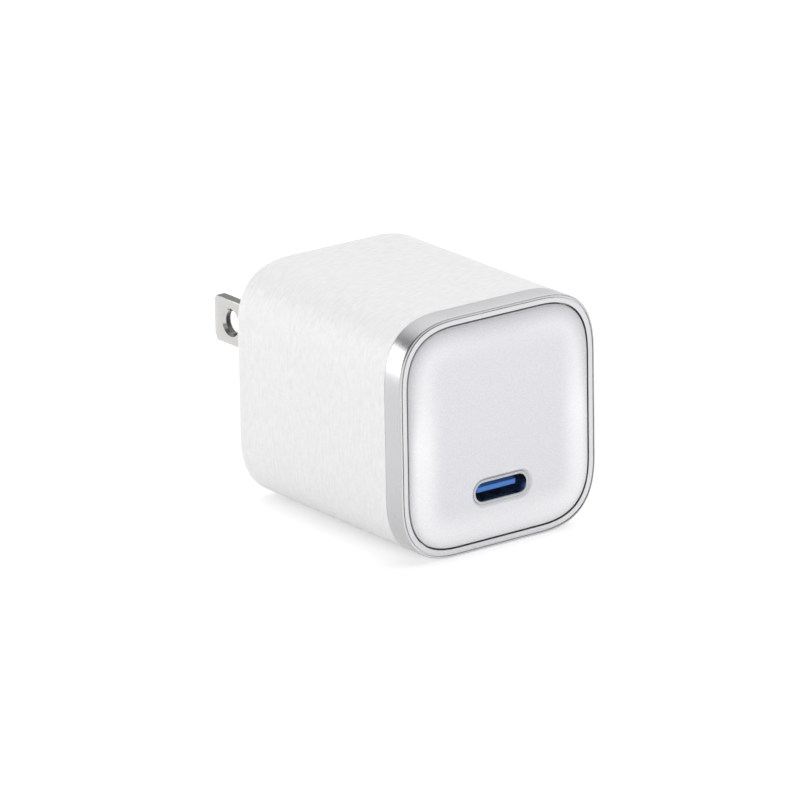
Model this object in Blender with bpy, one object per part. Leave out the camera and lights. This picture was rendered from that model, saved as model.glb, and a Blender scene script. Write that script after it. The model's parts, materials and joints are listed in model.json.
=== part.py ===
"""Compact USB-C wall charger with a pair of folding plug blades.

Metres. +X is to the right seen from the front, +Y runs to the rear, where the blades are,
and +Z is up. The origin is under the middle of the whole object, on the surface it stands on.
"""

import math

import bmesh
import bpy
from mathutils import Vector

MM = 0.001

# ---------------------------------------------------------------- driving dimensions

GAP = 0.3 * MM  # left between two pieces that touch
FINE_GAP = 0.15 * MM  # left around small fitted parts

WIDTH = 32.0 * MM
HEIGHT = 32.8 * MM
DEPTH = 37.5 * MM  # front rim to rear face
CORNER = 9.8 * MM  # corner radius of the section
CORNER_POWER = 2.75  # 2 is a circular corner, more is squarer
CORNER_STEPS = 8
WALL = 1.5 * MM
REAR_ROUND = 2.1 * MM
REAR_ROUND_STEPS = 4

BAND = 3.35 * MM  # width of the bezel's side band
RIM = 1.13 * MM  # width of the bezel's front rim
RIM_EDGE = 0.45 * MM  # rounding of the rim's outer edge
RIM_INNER_EDGE = 0.2 * MM
SEAT_DEPTH = 1.9 * MM  # ledge that carries the front cover
SKIRT_WALL = 1.0 * MM
SKIRT_DEPTH = 7.0 * MM

CROWN = 0.6 * MM  # how far the cover's middle stands in front of the rim
COVER_EDGE_DROP = 0.45 * MM  # how far the cover's edge lies behind the rim
COVER_POWER = 3.0  # how flat the cover's middle is
COVER_FLAT = 0.3  # share of the cover's breadth that is quite flat
COVER_RINGS = 8

CAP_PLATE = 1.2 * MM
CAP_LIP_DEPTH = 1.6 * MM  # the sleeve's lip in front of the cap's flange
CAP_FLANGE = 1.2 * MM
CAP_SKIRT = 0.85 * MM

# NEMA 1-15 blades
BLADE_LENGTH = 17.2 * MM  # from the rear face
BLADE_HEIGHT = 6.35 * MM
BLADE_THICKNESS = 1.5 * MM
BLADE_PITCH = 12.7 * MM
BLADE_NECK_THICKNESS = 1.3 * MM  # in the rotor and in the rear cap's slot
BLADE_TIP = 1.0 * MM  # length of the tapered tip
BLADE_TIP_HEIGHT = 5.0 * MM
BLADE_TIP_THICKNESS = 0.7 * MM
BLADE_HOLE_RADIUS = 1.59 * MM
BLADE_HOLE_FROM_TIP = 4.2 * MM
BLADE_SINK = 0.4 * MM  # countersink round the hole
BLADE_ROOT = 0.25 * MM  # the full blade starts this far behind the pivot's axis
TANG_TOP = 0.9 * MM  # below the pivot
TANG_BOTTOM = 3.4 * MM
TANG_REACH = 5.4 * MM  # inwards from the pivot

PIVOT_DEPTH = 1.15 * MM  # from the rear face in to the fold axis
FOLDED_RECESS = 0.325 * MM  # a folded blade lies this far inside the rear face
BARREL_RADIUS = 1.0 * MM
BARREL_END = 0.35 * MM  # beyond the outer cheek
TRUNNION_RADIUS = 0.65 * MM
RUNNING_GAP = 0.1 * MM
CHEEK_WALL = 0.6 * MM  # plastic on each side of a tang
CHEEK_REACH = 2.4 * MM  # inwards from the pivot
CAM_HALF = 1.6 * MM
CAM_CORNER_RADIUS = 1.85 * MM
CAM_WIDTH = 4.0 * MM

FRAME_WALL = 0.95 * MM
CHANNEL_GAP = 0.4 * MM  # on each side of a folded blade
SLOT_WALL = 0.5 * MM  # left of the rear cap under each slot
LEAF = 0.25 * MM
TAIL_HEIGHT = 1.2 * MM
TAIL_REACH = 1.2 * MM
POST_WIDTH = 5.2 * MM
POST_HEIGHT = 1.2 * MM

# USB-C receptacle
PORT_HEIGHT = 8.0 * MM  # centre of the port above the bottom face
SHELL_WIDTH = 8.94 * MM
SHELL_HEIGHT = 3.16 * MM
SHELL_WALL = 0.3 * MM
SHELL_LENGTH = 8.6 * MM
SHELL_RECESS = 0.45 * MM  # behind the cover's crown
PORT_CHAMFER = 0.25 * MM
TONGUE_WIDTH = 6.69 * MM
TONGUE_THICKNESS = 0.7 * MM
TONGUE_RECESS = 0.9 * MM  # behind the shell's front edge
TONGUE_LENGTH = 4.6 * MM
LEG_WIDTH = 1.0 * MM
LEG_THICKNESS = 0.3 * MM
LEG_DROP = 1.7 * MM

# Circuit board
BOARD_THICKNESS = 1.0 * MM
BOARD_TONGUE_HALF = 8.0 * MM
BOARD_TONGUE_FRONT = 3.0 * MM
INSULATION = 0.4 * MM
SPREADER = 0.6 * MM
SPREADER_TOP = 18.0 * MM  # height of the spreader's sides

# Parts on the board. Sizes are the parts' own.
BULK_RADIUS = 4.7 * MM
BULK_END_BEVEL = 0.5 * MM
BULK_GROOVE = 1.6 * MM  # from the end
BULK_HEADROOM = 0.6 * MM
CORE_WIDTH = 15.2 * MM
CORE_DEPTH = 10.8 * MM
CORE_PLATE = 2.2 * MM
CORE_LEG = 2.0 * MM
CORE_POST_RADIUS = 2.6 * MM
BOBBIN_WALL = 0.35 * MM
BOBBIN_FLANGE = 0.6 * MM
WINDING_RADIUS = 4.9 * MM
OUTPUT_CAN_RADIUS = 2.9 * MM
OUTPUT_CAN_HEIGHT = 11.0 * MM
OUTPUT_CAN_BEVEL = 0.4 * MM
X_CAP_SIZE = (7.6 * MM, 4.7 * MM, 10.0 * MM)
Y_CAP_RADIUS = 3.3 * MM
Y_CAP_THICKNESS = 2.0 * MM
THERMISTOR_RADIUS = 2.6 * MM
THERMISTOR_THICKNESS = 1.7 * MM
DISC_EDGE = 0.3 * MM
FUSE_SIZE = (2.6 * MM, 4.3 * MM, 7.5 * MM)
TOROID_OUTER = 4.9 * MM
TOROID_INNER = 2.5 * MM
TOROID_WIDTH = 3.0 * MM
WIRE_LAYER = 0.5 * MM
WINDING_SWEEP = math.radians(140)  # of the toroid that each winding covers
WINDING_STEPS = 10
BRIDGE_SIZE = (5.0 * MM, 5.0 * MM, 1.1 * MM)
SWITCH_CHIP_SIZE = (6.0 * MM, 6.0 * MM, 0.9 * MM)
RECTIFIER_CHIP_SIZE = (4.0 * MM, 4.0 * MM, 0.9 * MM)
CONTROL_CHIP_SIZE = (4.6 * MM, 3.4 * MM, 0.8 * MM)
LEAD_RADIUS = 0.55 * MM
LEAD_STEPS = 4  # points of the curve between two points of the route

# ---------------------------------------------------------------- derived places

OVERALL = CROWN + DEPTH + BLADE_LENGTH
RIM_Y = CROWN - OVERALL / 2
REAR_Y = RIM_Y + DEPTH
MIDDLE_Z = HEIGHT / 2


def superellipse_drop(across, radius):
    """How far a corner of this radius has fallen away, at a distance across from where it starts."""
    share = min(max(across / radius, 0.0), 1.0)
    return radius * (1 - (1 - share**CORNER_POWER) ** (1 / CORNER_POWER))


def floor_height(x, inset):
    """Height of the section's lower side at x, on the outline drawn in by inset."""
    radius = CORNER - inset
    across = abs(x) - (WIDTH / 2 - inset - radius)
    return inset + superellipse_drop(across, radius)


def half_width_at(z, inset):
    """Half the section's width at height z, on the outline drawn in by inset."""
    radius = CORNER - inset
    from_middle = abs(z - MIDDLE_Z)
    across = from_middle - (HEIGHT / 2 - inset - radius)
    return WIDTH / 2 - inset - superellipse_drop(across, radius)


BLADE_X = BLADE_PITCH / 2
CHANNEL_HALF = BLADE_X + BLADE_THICKNESS / 2 + CHANNEL_GAP
CHANNEL_INNER = BLADE_X - BLADE_THICKNESS / 2 - CHANNEL_GAP
FRAME_LOWER_HALF = CHANNEL_HALF + FRAME_WALL
FRAME_BOTTOM = floor_height(FRAME_LOWER_HALF, WALL) + GAP
CAP_INSET = REAR_ROUND + GAP
CHANNEL_FLOOR = floor_height(CHANNEL_HALF, CAP_INSET) + SLOT_WALL

BLADE_DROP = BLADE_HEIGHT / 2 + FOLDED_RECESS - PIVOT_DEPTH  # blade's middle below the pivot
BLADE_REACH = BLADE_LENGTH + PIVOT_DEPTH
TIP_SWEEP = max(
    math.hypot(BLADE_REACH, BLADE_DROP + BLADE_TIP_HEIGHT / 2),
    math.hypot(BLADE_REACH - BLADE_TIP, BLADE_DROP + BLADE_HEIGHT / 2),
)
PIVOT_Y = REAR_Y - PIVOT_DEPTH
PIVOT_Z = CHANNEL_FLOOR + FINE_GAP + TIP_SWEEP
BLADE_Z = PIVOT_Z - BLADE_DROP

CHEEK_HALF = BLADE_THICKNESS / 2 + FINE_GAP + CHEEK_WALL
BARREL_HALF = BLADE_X + CHEEK_HALF + BARREL_END
EAR_INNER = BARREL_HALF + GAP
EAR_OUTER = EAR_INNER + FRAME_WALL
SWEEP = math.hypot(TANG_REACH, TANG_BOTTOM)
CHAMBER_REACH = SWEEP + GAP
CHAMBER_TOP = PIVOT_Z + TANG_REACH + GAP
CHAMBER_FLOOR = PIVOT_Z - TANG_BOTTOM - CHEEK_WALL - FINE_GAP - GAP
FRAME_REAR_Y = REAR_Y - CAP_PLATE - GAP
FRAME_FRONT_Y = PIVOT_Y - CHAMBER_REACH - FRAME_WALL
CAP_CLEARANCE = max(PIVOT_Y - FRAME_REAR_Y, 0.0)  # keeps the cheeks and the cam inside the cap
SPRING_Y = PIVOT_Y - CAM_HALF - GAP  # rear side of the detent spring, which bears on the cam

CAP_FLANGE_INSET = WALL + GAP
CAP_FLANGE_REAR = REAR_Y - CAP_LIP_DEPTH - GAP
CAP_FLANGE_FRONT = CAP_FLANGE_REAR - CAP_FLANGE

SKIRT_INSET = WALL + GAP
COVER_INSET = RIM + GAP
COVER_BACK_Y = RIM_Y + SEAT_DEPTH - GAP

SHELL_Y = RIM_Y - CROWN + SHELL_RECESS
BOARD_TOP = PORT_HEIGHT - SHELL_HEIGHT / 2 - GAP
BOARD_BOTTOM = BOARD_TOP - BOARD_THICKNESS
WRAP_FRONT_Y = RIM_Y + SKIRT_DEPTH + GAP
WRAP_REAR_Y = FRAME_FRONT_Y - GAP
INSULATION_INSET = WALL + GAP
SPREADER_INSET = INSULATION_INSET + INSULATION + GAP
INNER_INSET = SPREADER_INSET + SPREADER
BOARD_HALF = half_width_at(BOARD_BOTTOM, INNER_INSET) - GAP
PARTS_Z = BOARD_TOP + GAP
UNDER_Z = BOARD_BOTTOM - GAP
LEAD_ROOM = 2 * LEAD_RADIUS + 2 * GAP
PARTS_FRONT_Y = WRAP_FRONT_Y + GAP
PARTS_REAR_Y = WRAP_REAR_Y - LEAD_ROOM

BULK_TOP = HEIGHT - INSULATION_INSET - INSULATION - BULK_HEADROOM
BULK_Z = BULK_TOP - BULK_RADIUS
BULK_HALF = half_width_at(BULK_TOP, INSULATION_INSET + INSULATION) - GAP
CORE_TOP = BULK_Z - BULK_RADIUS - GAP

# ---------------------------------------------------------------- materials

FINISHES = {
    "housing_white": ((0.86, 0.86, 0.86), 0.55, 0.0),
    "cover_pearl": ((0.84, 0.84, 0.86), 0.12, 0.0),
    "bezel_silver": ((0.74, 0.74, 0.75), 0.28, 1.0),
    "blade_nickel": ((0.80, 0.80, 0.79), 0.18, 1.0),
    "inner_white": ((0.80, 0.80, 0.78), 0.5, 0.0),
    "usb_steel": ((0.70, 0.71, 0.73), 0.22, 1.0),
    "usb_blue": ((0.03, 0.10, 0.30), 0.4, 0.0),
    "spring_bronze": ((0.72, 0.50, 0.30), 0.3, 1.0),
    "spring_steel": ((0.62, 0.62, 0.62), 0.3, 1.0),
    "board_green": ((0.02, 0.16, 0.08), 0.35, 0.0),
    "ferrite": ((0.06, 0.06, 0.065), 0.55, 0.0),
    "bobbin_black": ((0.02, 0.02, 0.02), 0.5, 0.0),
    "tape_yellow": ((0.85, 0.62, 0.08), 0.4, 0.0),
    "copper_wire": ((0.72, 0.32, 0.14), 0.3, 1.0),
    "can_sleeve": ((0.03, 0.05, 0.10), 0.3, 0.0),
    "can_aluminium": ((0.78, 0.78, 0.78), 0.3, 1.0),
    "film_grey": ((0.42, 0.42, 0.42), 0.5, 0.0),
    "ceramic_blue": ((0.05, 0.20, 0.55), 0.5, 0.0),
    "ceramic_green": ((0.05, 0.30, 0.14), 0.5, 0.0),
    "fuse_brown": ((0.20, 0.10, 0.05), 0.4, 0.0),
    "chip_black": ((0.02, 0.02, 0.02), 0.4, 0.0),
    "pad_grey": ((0.50, 0.52, 0.58), 0.8, 0.0),
    "film_amber": ((0.75, 0.55, 0.25), 0.25, 0.0),
    "spreader_metal": ((0.80, 0.80, 0.80), 0.35, 1.0),
    "lead_red": ((0.55, 0.03, 0.03), 0.4, 0.0),
    "lead_black": ((0.02, 0.02, 0.02), 0.4, 0.0),
}


def material(name):
    """The named finish as a Principled material, made once."""
    made = bpy.data.materials.get(name)
    if made is None:
        colour, roughness, metallic = FINISHES[name]
        made = bpy.data.materials.new(name)
        made.use_nodes = True
        shader = made.node_tree.nodes["Principled BSDF"]
        shader.inputs["Base Color"].default_value = (*colour, 1.0)
        shader.inputs["Roughness"].default_value = roughness
        shader.inputs["Metallic"].default_value = metallic
        made.diffuse_color = (*colour, 1.0)
    return made


# ---------------------------------------------------------------- shape helpers

SMOOTH_BELOW = math.radians(35)


def clear_scene():
    for old in list(bpy.data.objects):
        bpy.data.objects.remove(old, do_unlink=True)


def mesh_object(name, points, faces, finish, smooth=False):
    """A closed mesh as an object, with its faces pointing out."""
    mesh = bpy.data.meshes.new(name)
    mesh.from_pydata([tuple(p) for p in points], [], faces)
    shape = bmesh.new()
    shape.from_mesh(mesh)
    bmesh.ops.recalc_face_normals(shape, faces=shape.faces)
    shape.to_mesh(mesh)
    shape.free()
    if smooth:
        mesh.shade_smooth()
        mesh.set_sharp_from_angle(angle=SMOOTH_BELOW)
    made = bpy.data.objects.new(name, mesh)
    bpy.context.scene.collection.objects.link(made)
    if finish:
        mesh.materials.append(material(finish))
    return made


def section_outline(inset):
    """The housing's section, drawn in by inset, as (x, z) points."""
    radius = max(CORNER - inset, 0.5 * MM)
    across = WIDTH / 2 - inset - radius
    up = HEIGHT / 2 - inset - radius
    points = []
    for corner in range(4):
        turn = corner * math.pi / 2
        centre_x = across if corner in (0, 3) else -across
        centre_z = up if corner in (0, 1) else -up
        for step in range(CORNER_STEPS + 1):
            angle = step / CORNER_STEPS * math.pi / 2
            c, s = math.cos(angle), math.sin(angle)
            reach = radius * (c**CORNER_POWER + s**CORNER_POWER) ** (-1 / CORNER_POWER)
            points.append(
                (
                    centre_x + reach * math.cos(angle + turn),
                    MIDDLE_Z + centre_z + reach * math.sin(angle + turn),
                )
            )
    return points


def rings_to_faces(count, sides, closed):
    """Quads between rings of points, with the last ring joined to the first or both capped."""
    faces = []
    for ring in range(count if closed else count - 1):
        a, b = ring * sides, (ring + 1) % count * sides
        for k in range(sides):
            m = (k + 1) % sides
            faces.append((a + k, a + m, b + m, b + k))
    if not closed:
        faces.append(tuple(range(sides)))
        faces.append(tuple(range((count - 1) * sides, count * sides)))
    return faces


def section_rings(stations):
    """Points of the housing's section at each (inset, y)."""
    points = []
    for inset, y in stations:
        points += [(x, y, z) for x, z in section_outline(inset)]
    return points, len(section_outline(0))


def section_tube(name, stations, finish):
    """A ring that follows the housing's section. The stations, as (inset, y), go round its wall."""
    points, sides = section_rings(stations)
    return mesh_object(name, points, rings_to_faces(len(stations), sides, True), finish, True)


def section_solid(name, stations, finish):
    """A solid that follows the housing's section, closed at its first and last station."""
    points, sides = section_rings(stations)
    return mesh_object(name, points, rings_to_faces(len(stations), sides, False), finish, True)


def loft(name, rings, finish, smooth=False):
    """A solid through rings of points, closed at both ends."""
    sides = len(rings[0])
    points = [p for ring in rings for p in ring]
    return mesh_object(name, points, rings_to_faces(len(rings), sides, False), finish, smooth)


def box(name, x, y, z, finish=None):
    """A box between the given pairs of x, y and z."""
    rings = [
        [(a, b, c) for a, b in ((x[0], y[0]), (x[1], y[0]), (x[1], y[1]), (x[0], y[1]))]
        for c in z
    ]
    return loft(name, rings, finish)


def sized_box(name, x, y, z, size, finish=None):
    """A box of this size, with its middle at x, its front at y and its foot at z."""
    return box(name, (x - size[0] / 2, x + size[0] / 2), (y, y + size[1]), (z, z + size[2]), finish)


ROUND_SIDES = 24
AXES = {"x": (1, 2, 0), "y": (2, 0, 1), "z": (0, 1, 2)}


def circle(axis, centre, along, radius):
    """Points round an axis through centre, at a distance along it."""
    u, v, w = AXES[axis]
    points = []
    for k in range(ROUND_SIDES):
        angle = (k + 0.5) / ROUND_SIDES * 2 * math.pi
        point = list(centre)
        point[u] += radius * math.cos(angle)
        point[v] += radius * math.sin(angle)
        point[w] += along
        points.append(tuple(point))
    return points


def turned(name, axis, centre, profile, finish=None):
    """A solid turned about an axis through centre. The profile is (distance along, radius)."""
    rings = [circle(axis, centre, along, radius) for along, radius in profile]
    return loft(name, rings, finish, True)


def turned_ring(name, axis, centre, profile, finish):
    """A ring turned about an axis through centre. The closed profile is (distance along, radius)."""
    points = [p for along, radius in profile for p in circle(axis, centre, along, radius)]
    return mesh_object(name, points, rings_to_faces(len(profile), ROUND_SIDES, True), finish, True)


def tube_profile(ends, inner, outer):
    """The closed profile of a plain tube, for turned_ring."""
    return [(ends[0], outer), (ends[1], outer), (ends[1], inner), (ends[0], inner)]


def stadium(width, height, y, steps=8):
    """The port's outline, a slot with round ends, at one y."""
    radius = height / 2
    across = width / 2 - radius
    ring = []
    for side in (1, -1):
        for step in range(steps + 1):
            angle = -math.pi / 2 + math.pi * step / steps
            ring.append(
                (
                    side * (across + radius * math.cos(angle)),
                    y,
                    PORT_HEIGHT + side * radius * math.sin(angle),
                )
            )
    return ring


def combine(target, tool, operation):
    """A Boolean of target with tool, which becomes a hidden helper."""
    modifier = target.modifiers.new(tool.name, "BOOLEAN")
    modifier.operation = operation
    modifier.object = tool
    modifier.solver = "EXACT"
    tool.hide_render = True
    tool.display_type = "WIRE"
    return target


def cut(target, *tools):
    for tool in tools:
        combine(target, tool, "DIFFERENCE")


def join(target, *tools):
    for tool in tools:
        combine(target, tool, "UNION")


# ---------------------------------------------------------------- housing


def housing_sleeve():
    """The textured shell: four sides, a rounded rear edge and a lip that stops the rear cap."""
    front = RIM_Y + BAND + GAP
    stations = [(0.0, front)]
    for step in range(REAR_ROUND_STEPS + 1):
        angle = step / REAR_ROUND_STEPS * math.pi / 2
        inset = REAR_ROUND * (1 - math.cos(angle))
        stations.append((inset, REAR_Y - REAR_ROUND * (1 - math.sin(angle))))
    stations += [
        (REAR_ROUND, REAR_Y - CAP_LIP_DEPTH),
        (WALL, REAR_Y - CAP_LIP_DEPTH),
        (WALL, front),
    ]
    return section_tube("housing_sleeve", stations, "housing_white")


def bezel_ring():
    """The silver ring: side band, front rim, the ledge under the cover and the skirt in the sleeve."""
    stations = [
        (0.0, RIM_Y + BAND),
        (0.0, RIM_Y + RIM_EDGE),
        (RIM_EDGE * 0.3, RIM_Y + RIM_EDGE * 0.3),
        (RIM_EDGE, RIM_Y),
        (RIM - RIM_INNER_EDGE, RIM_Y),
        (RIM, RIM_Y + RIM_INNER_EDGE),
        (RIM, RIM_Y + SEAT_DEPTH),
        (SKIRT_INSET + SKIRT_WALL, RIM_Y + SEAT_DEPTH),
        (SKIRT_INSET + SKIRT_WALL, RIM_Y + SKIRT_DEPTH),
        (SKIRT_INSET, RIM_Y + SKIRT_DEPTH),
        (SKIRT_INSET, RIM_Y + BAND),
    ]
    return section_tube("bezel_ring", stations, "bezel_silver")


def front_cover():
    """The glossy pillow-shaped cover, with the port's opening."""
    outline = section_outline(COVER_INSET)
    edge_y = RIM_Y + COVER_EDGE_DROP
    rise = COVER_EDGE_DROP + CROWN
    rings = [[(x, COVER_BACK_Y, z) for x, z in outline]]
    for step in range(COVER_RINGS):
        share = 1 - (1 - COVER_FLAT) * (1 - math.cos(step / (COVER_RINGS - 1) * math.pi / 2))
        y = edge_y - rise * (1 - ((share - COVER_FLAT) / (1 - COVER_FLAT)) ** COVER_POWER) ** 0.5
        rings.append([(x * share, y, MIDDLE_Z + (z - MIDDLE_Z) * share) for x, z in outline])
    cover = loft("front_cover", rings, "cover_pearl", True)

    through = (RIM_Y - 2 * CROWN, COVER_BACK_Y + 2 * GAP)
    width, height = SHELL_WIDTH + 2 * FINE_GAP, SHELL_HEIGHT + 2 * FINE_GAP
    bore = loft("cover_port_bore", [stadium(width, height, y) for y in through], None)
    mouth_y = RIM_Y - CROWN
    grow = 2 * PORT_CHAMFER
    mouth = loft(
        "cover_port_chamfer",
        [
            stadium(width + 2 * grow, height + 2 * grow, mouth_y - PORT_CHAMFER),
            stadium(width - grow, height - grow, mouth_y + 2 * PORT_CHAMFER),
        ],
        None,
    )
    cut(cover, bore, mouth)
    return cover


def rear_cap():
    """The rear face: a plate with a window and two blade slots, flanged behind the sleeve's lip."""
    stations = [
        (CAP_INSET, REAR_Y),
        (CAP_INSET, CAP_FLANGE_REAR),
        (CAP_FLANGE_INSET, CAP_FLANGE_REAR),
        (CAP_FLANGE_INSET, CAP_FLANGE_FRONT),
        (CAP_FLANGE_INSET + CAP_SKIRT, CAP_FLANGE_FRONT),
        (CAP_FLANGE_INSET + CAP_SKIRT, REAR_Y - CAP_PLATE),
    ]
    cap = section_solid("rear_cap", stations, "inner_white")
    through = (REAR_Y - CAP_PLATE - GAP, REAR_Y + GAP)
    window_half = BARREL_RADIUS + GAP
    window = box(
        "cap_window",
        (-BARREL_HALF - GAP, BARREL_HALF + GAP),
        through,
        (PIVOT_Z - window_half, PIVOT_Z + window_half),
    )
    slots = [
        box(
            f"cap_slot_{side}",
            sorted((sign * CHANNEL_INNER, sign * CHANNEL_HALF)),
            through,
            (CHANNEL_FLOOR, PIVOT_Z),
        )
        for side, sign in (("left", -1), ("right", 1))
    ]
    reach = EAR_OUTER + GAP
    saddle = turned(
        "cap_saddle",
        "x",
        (0, PIVOT_Y, PIVOT_Z),
        [(-reach, TRUNNION_RADIUS + RUNNING_GAP), (reach, TRUNNION_RADIUS + RUNNING_GAP)],
    )
    cut(cap, window, *slots, saddle)
    return cap


# ---------------------------------------------------------------- folding plug


def plug_frame():
    """The insulated pocket: a chamber for the rotor and a channel for each folded blade."""
    frame = box(
        "plug_frame",
        (-EAR_OUTER, EAR_OUTER),
        (FRAME_FRONT_Y, FRAME_REAR_Y),
        (CHAMBER_FLOOR - FRAME_WALL, CHAMBER_TOP + FRAME_WALL),
        "inner_white",
    )
    lower = box(
        "frame_lower",
        (-FRAME_LOWER_HALF, FRAME_LOWER_HALF),
        (FRAME_FRONT_Y, FRAME_REAR_Y),
        (FRAME_BOTTOM, CHAMBER_FLOOR),
    )
    join(frame, lower)

    open_y = FRAME_REAR_Y + GAP
    chamber = box(
        "frame_chamber",
        (-EAR_INNER, EAR_INNER),
        (PIVOT_Y - CHAMBER_REACH, open_y),
        (CHAMBER_FLOOR, CHAMBER_TOP),
    )
    channel_y = REAR_Y - FOLDED_RECESS - BLADE_HEIGHT - CHANNEL_GAP
    channels = [
        box(
            f"frame_channel_{side}",
            sorted((sign * CHANNEL_INNER, sign * CHANNEL_HALF)),
            (channel_y, open_y),
            (CHANNEL_FLOOR, CHAMBER_FLOOR + FRAME_WALL),
        )
        for side, sign in (("left", -1), ("right", 1))
    ]
    core_half = CHANNEL_INNER - FRAME_WALL
    coring = box(
        "frame_coring",
        (-core_half, core_half),
        (channel_y, open_y),
        (CHANNEL_FLOOR, CHAMBER_FLOOR - FRAME_WALL),
    )
    bearing = turned(
        "frame_bearing",
        "x",
        (0, PIVOT_Y, PIVOT_Z),
        [
            (-EAR_OUTER - GAP, TRUNNION_RADIUS + RUNNING_GAP),
            (EAR_OUTER + GAP, TRUNNION_RADIUS + RUNNING_GAP),
        ],
    )
    flange_room = section_tube(
        "frame_flange_room",
        [
            (WALL, REAR_Y),
            (WALL, CAP_FLANGE_FRONT - GAP),
            (CAP_FLANGE_INSET + CAP_SKIRT + GAP, CAP_FLANGE_FRONT - GAP),
            (CAP_FLANGE_INSET + CAP_SKIRT + GAP, REAR_Y),
        ],
        None,
    )
    cut(frame, chamber, *channels, coring, bearing, flange_room)

    for place, low, high in (
        ("upper", CHAMBER_TOP - POST_HEIGHT, CHAMBER_TOP + FRAME_WALL / 2),
        ("lower", CHAMBER_FLOOR - FRAME_WALL / 2, CHAMBER_FLOOR + POST_HEIGHT),
    ):
        post = box(
            f"frame_post_{place}",
            (-POST_WIDTH / 2, POST_WIDTH / 2),
            (FRAME_FRONT_Y + FRAME_WALL / 2, SPRING_Y - LEAF - GAP),
            (low, high),
        )
        join(frame, post)
    for side, sign in (("left", -1), ("right", 1)):
        x, z = tail_place(sign)
        tail_slot = box(
            f"frame_tail_slot_{side}",
            (x - LEAF / 2 - FINE_GAP, x + LEAF / 2 + FINE_GAP),
            (FRAME_FRONT_Y - GAP, PIVOT_Y - CHAMBER_REACH + GAP),
            (z - TAIL_HEIGHT / 2 - FINE_GAP, z + TAIL_HEIGHT / 2 + FINE_GAP),
        )
        cut(frame, tail_slot)
    return frame


def plug_rotor():
    """The moulded carrier: a barrel on two trunnions, two cheeks and a square detent cam."""
    rotor = turned(
        "plug_rotor",
        "x",
        (0, PIVOT_Y, PIVOT_Z),
        [
            (-EAR_OUTER, TRUNNION_RADIUS),
            (-BARREL_HALF, TRUNNION_RADIUS),
            (-BARREL_HALF, BARREL_RADIUS),
            (BARREL_HALF, BARREL_RADIUS),
            (BARREL_HALF, TRUNNION_RADIUS),
            (EAR_OUTER, TRUNNION_RADIUS),
        ],
        "inner_white",
    )
    flat, corner = CAM_HALF, math.sqrt(CAM_CORNER_RADIUS**2 - CAM_HALF**2)
    cam_outline = [
        (-flat, -CAP_CLEARANCE),
        (-flat, -corner),
        (-corner, -flat),
        (-CAP_CLEARANCE, -flat),
        (-CAP_CLEARANCE, -CAP_CLEARANCE),
    ]
    cam = loft(
        "rotor_cam",
        [
            [(x, PIVOT_Y + y, PIVOT_Z + z) for y, z in cam_outline]
            for x in (-CAM_WIDTH / 2, CAM_WIDTH / 2)
        ],
        None,
    )
    join(rotor, cam)
    for side, sign in (("left", -1), ("right", 1)):
        x = sign * BLADE_X
        cheek = box(
            f"rotor_cheek_{side}",
            (x - CHEEK_HALF, x + CHEEK_HALF),
            (PIVOT_Y - CHEEK_REACH, PIVOT_Y - CAP_CLEARANCE),
            (PIVOT_Z - TANG_BOTTOM - FINE_GAP - CHEEK_WALL, PIVOT_Z - CAP_CLEARANCE),
        )
        join(rotor, cheek)
        half = BLADE_THICKNESS / 2 + FINE_GAP
        tang_slot = box(
            f"rotor_tang_slot_{side}",
            (x - half, x + half),
            (PIVOT_Y - CHEEK_REACH - GAP, PIVOT_Y + BLADE_ROOT),
            (PIVOT_Z - TANG_BOTTOM - FINE_GAP, PIVOT_Z - TANG_TOP + FINE_GAP),
        )
        blade_notch = box(
            f"rotor_notch_{side}",
            (x - half, x + half),
            (PIVOT_Y + BLADE_ROOT - FINE_GAP, PIVOT_Y + 2 * BARREL_RADIUS),
            (BLADE_Z - BLADE_HEIGHT / 2 - FINE_GAP, PIVOT_Z + 2 * BARREL_RADIUS),
        )
        cut(rotor, tang_slot, blade_notch)
    return rotor


def plug_blade(side, sign):
    """One flat blade, with a tapered tip, a countersunk hole and a narrow tang in the rotor."""
    x = sign * BLADE_X

    def ring(y, thickness, height):
        return [
            (x + a * thickness / 2, y, BLADE_Z + b * height / 2)
            for a, b in ((-1, -1), (1, -1), (1, 1), (-1, 1))
        ]

    tip_y = REAR_Y + BLADE_LENGTH
    blade = loft(
        f"blade_{side}",
        [
            ring(PIVOT_Y + BLADE_ROOT, BLADE_NECK_THICKNESS, BLADE_HEIGHT),
            ring(REAR_Y + GAP, BLADE_NECK_THICKNESS, BLADE_HEIGHT),
            ring(REAR_Y + 2 * GAP, BLADE_THICKNESS, BLADE_HEIGHT),
            ring(tip_y - BLADE_TIP, BLADE_THICKNESS, BLADE_HEIGHT),
            ring(tip_y, BLADE_TIP_THICKNESS, BLADE_TIP_HEIGHT),
        ],
        "blade_nickel",
    )
    tang = box(
        f"blade_tang_{side}",
        (x - BLADE_NECK_THICKNESS / 2, x + BLADE_NECK_THICKNESS / 2),
        (PIVOT_Y - TANG_REACH, PIVOT_Y + BLADE_ROOT + GAP),
        (PIVOT_Z - TANG_BOTTOM, PIVOT_Z - TANG_TOP),
    )
    join(blade, tang)
    face = BLADE_THICKNESS / 2
    waist = face - BLADE_SINK
    flare = face + BLADE_SINK
    hole = turned(
        f"blade_hole_{side}",
        "x",
        (x, tip_y - BLADE_HOLE_FROM_TIP, BLADE_Z),
        [
            (-flare, BLADE_HOLE_RADIUS + 2 * BLADE_SINK),
            (-waist, BLADE_HOLE_RADIUS),
            (waist, BLADE_HOLE_RADIUS),
            (flare, BLADE_HOLE_RADIUS + 2 * BLADE_SINK),
        ],
    )
    cut(blade, hole)
    return blade


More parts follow.
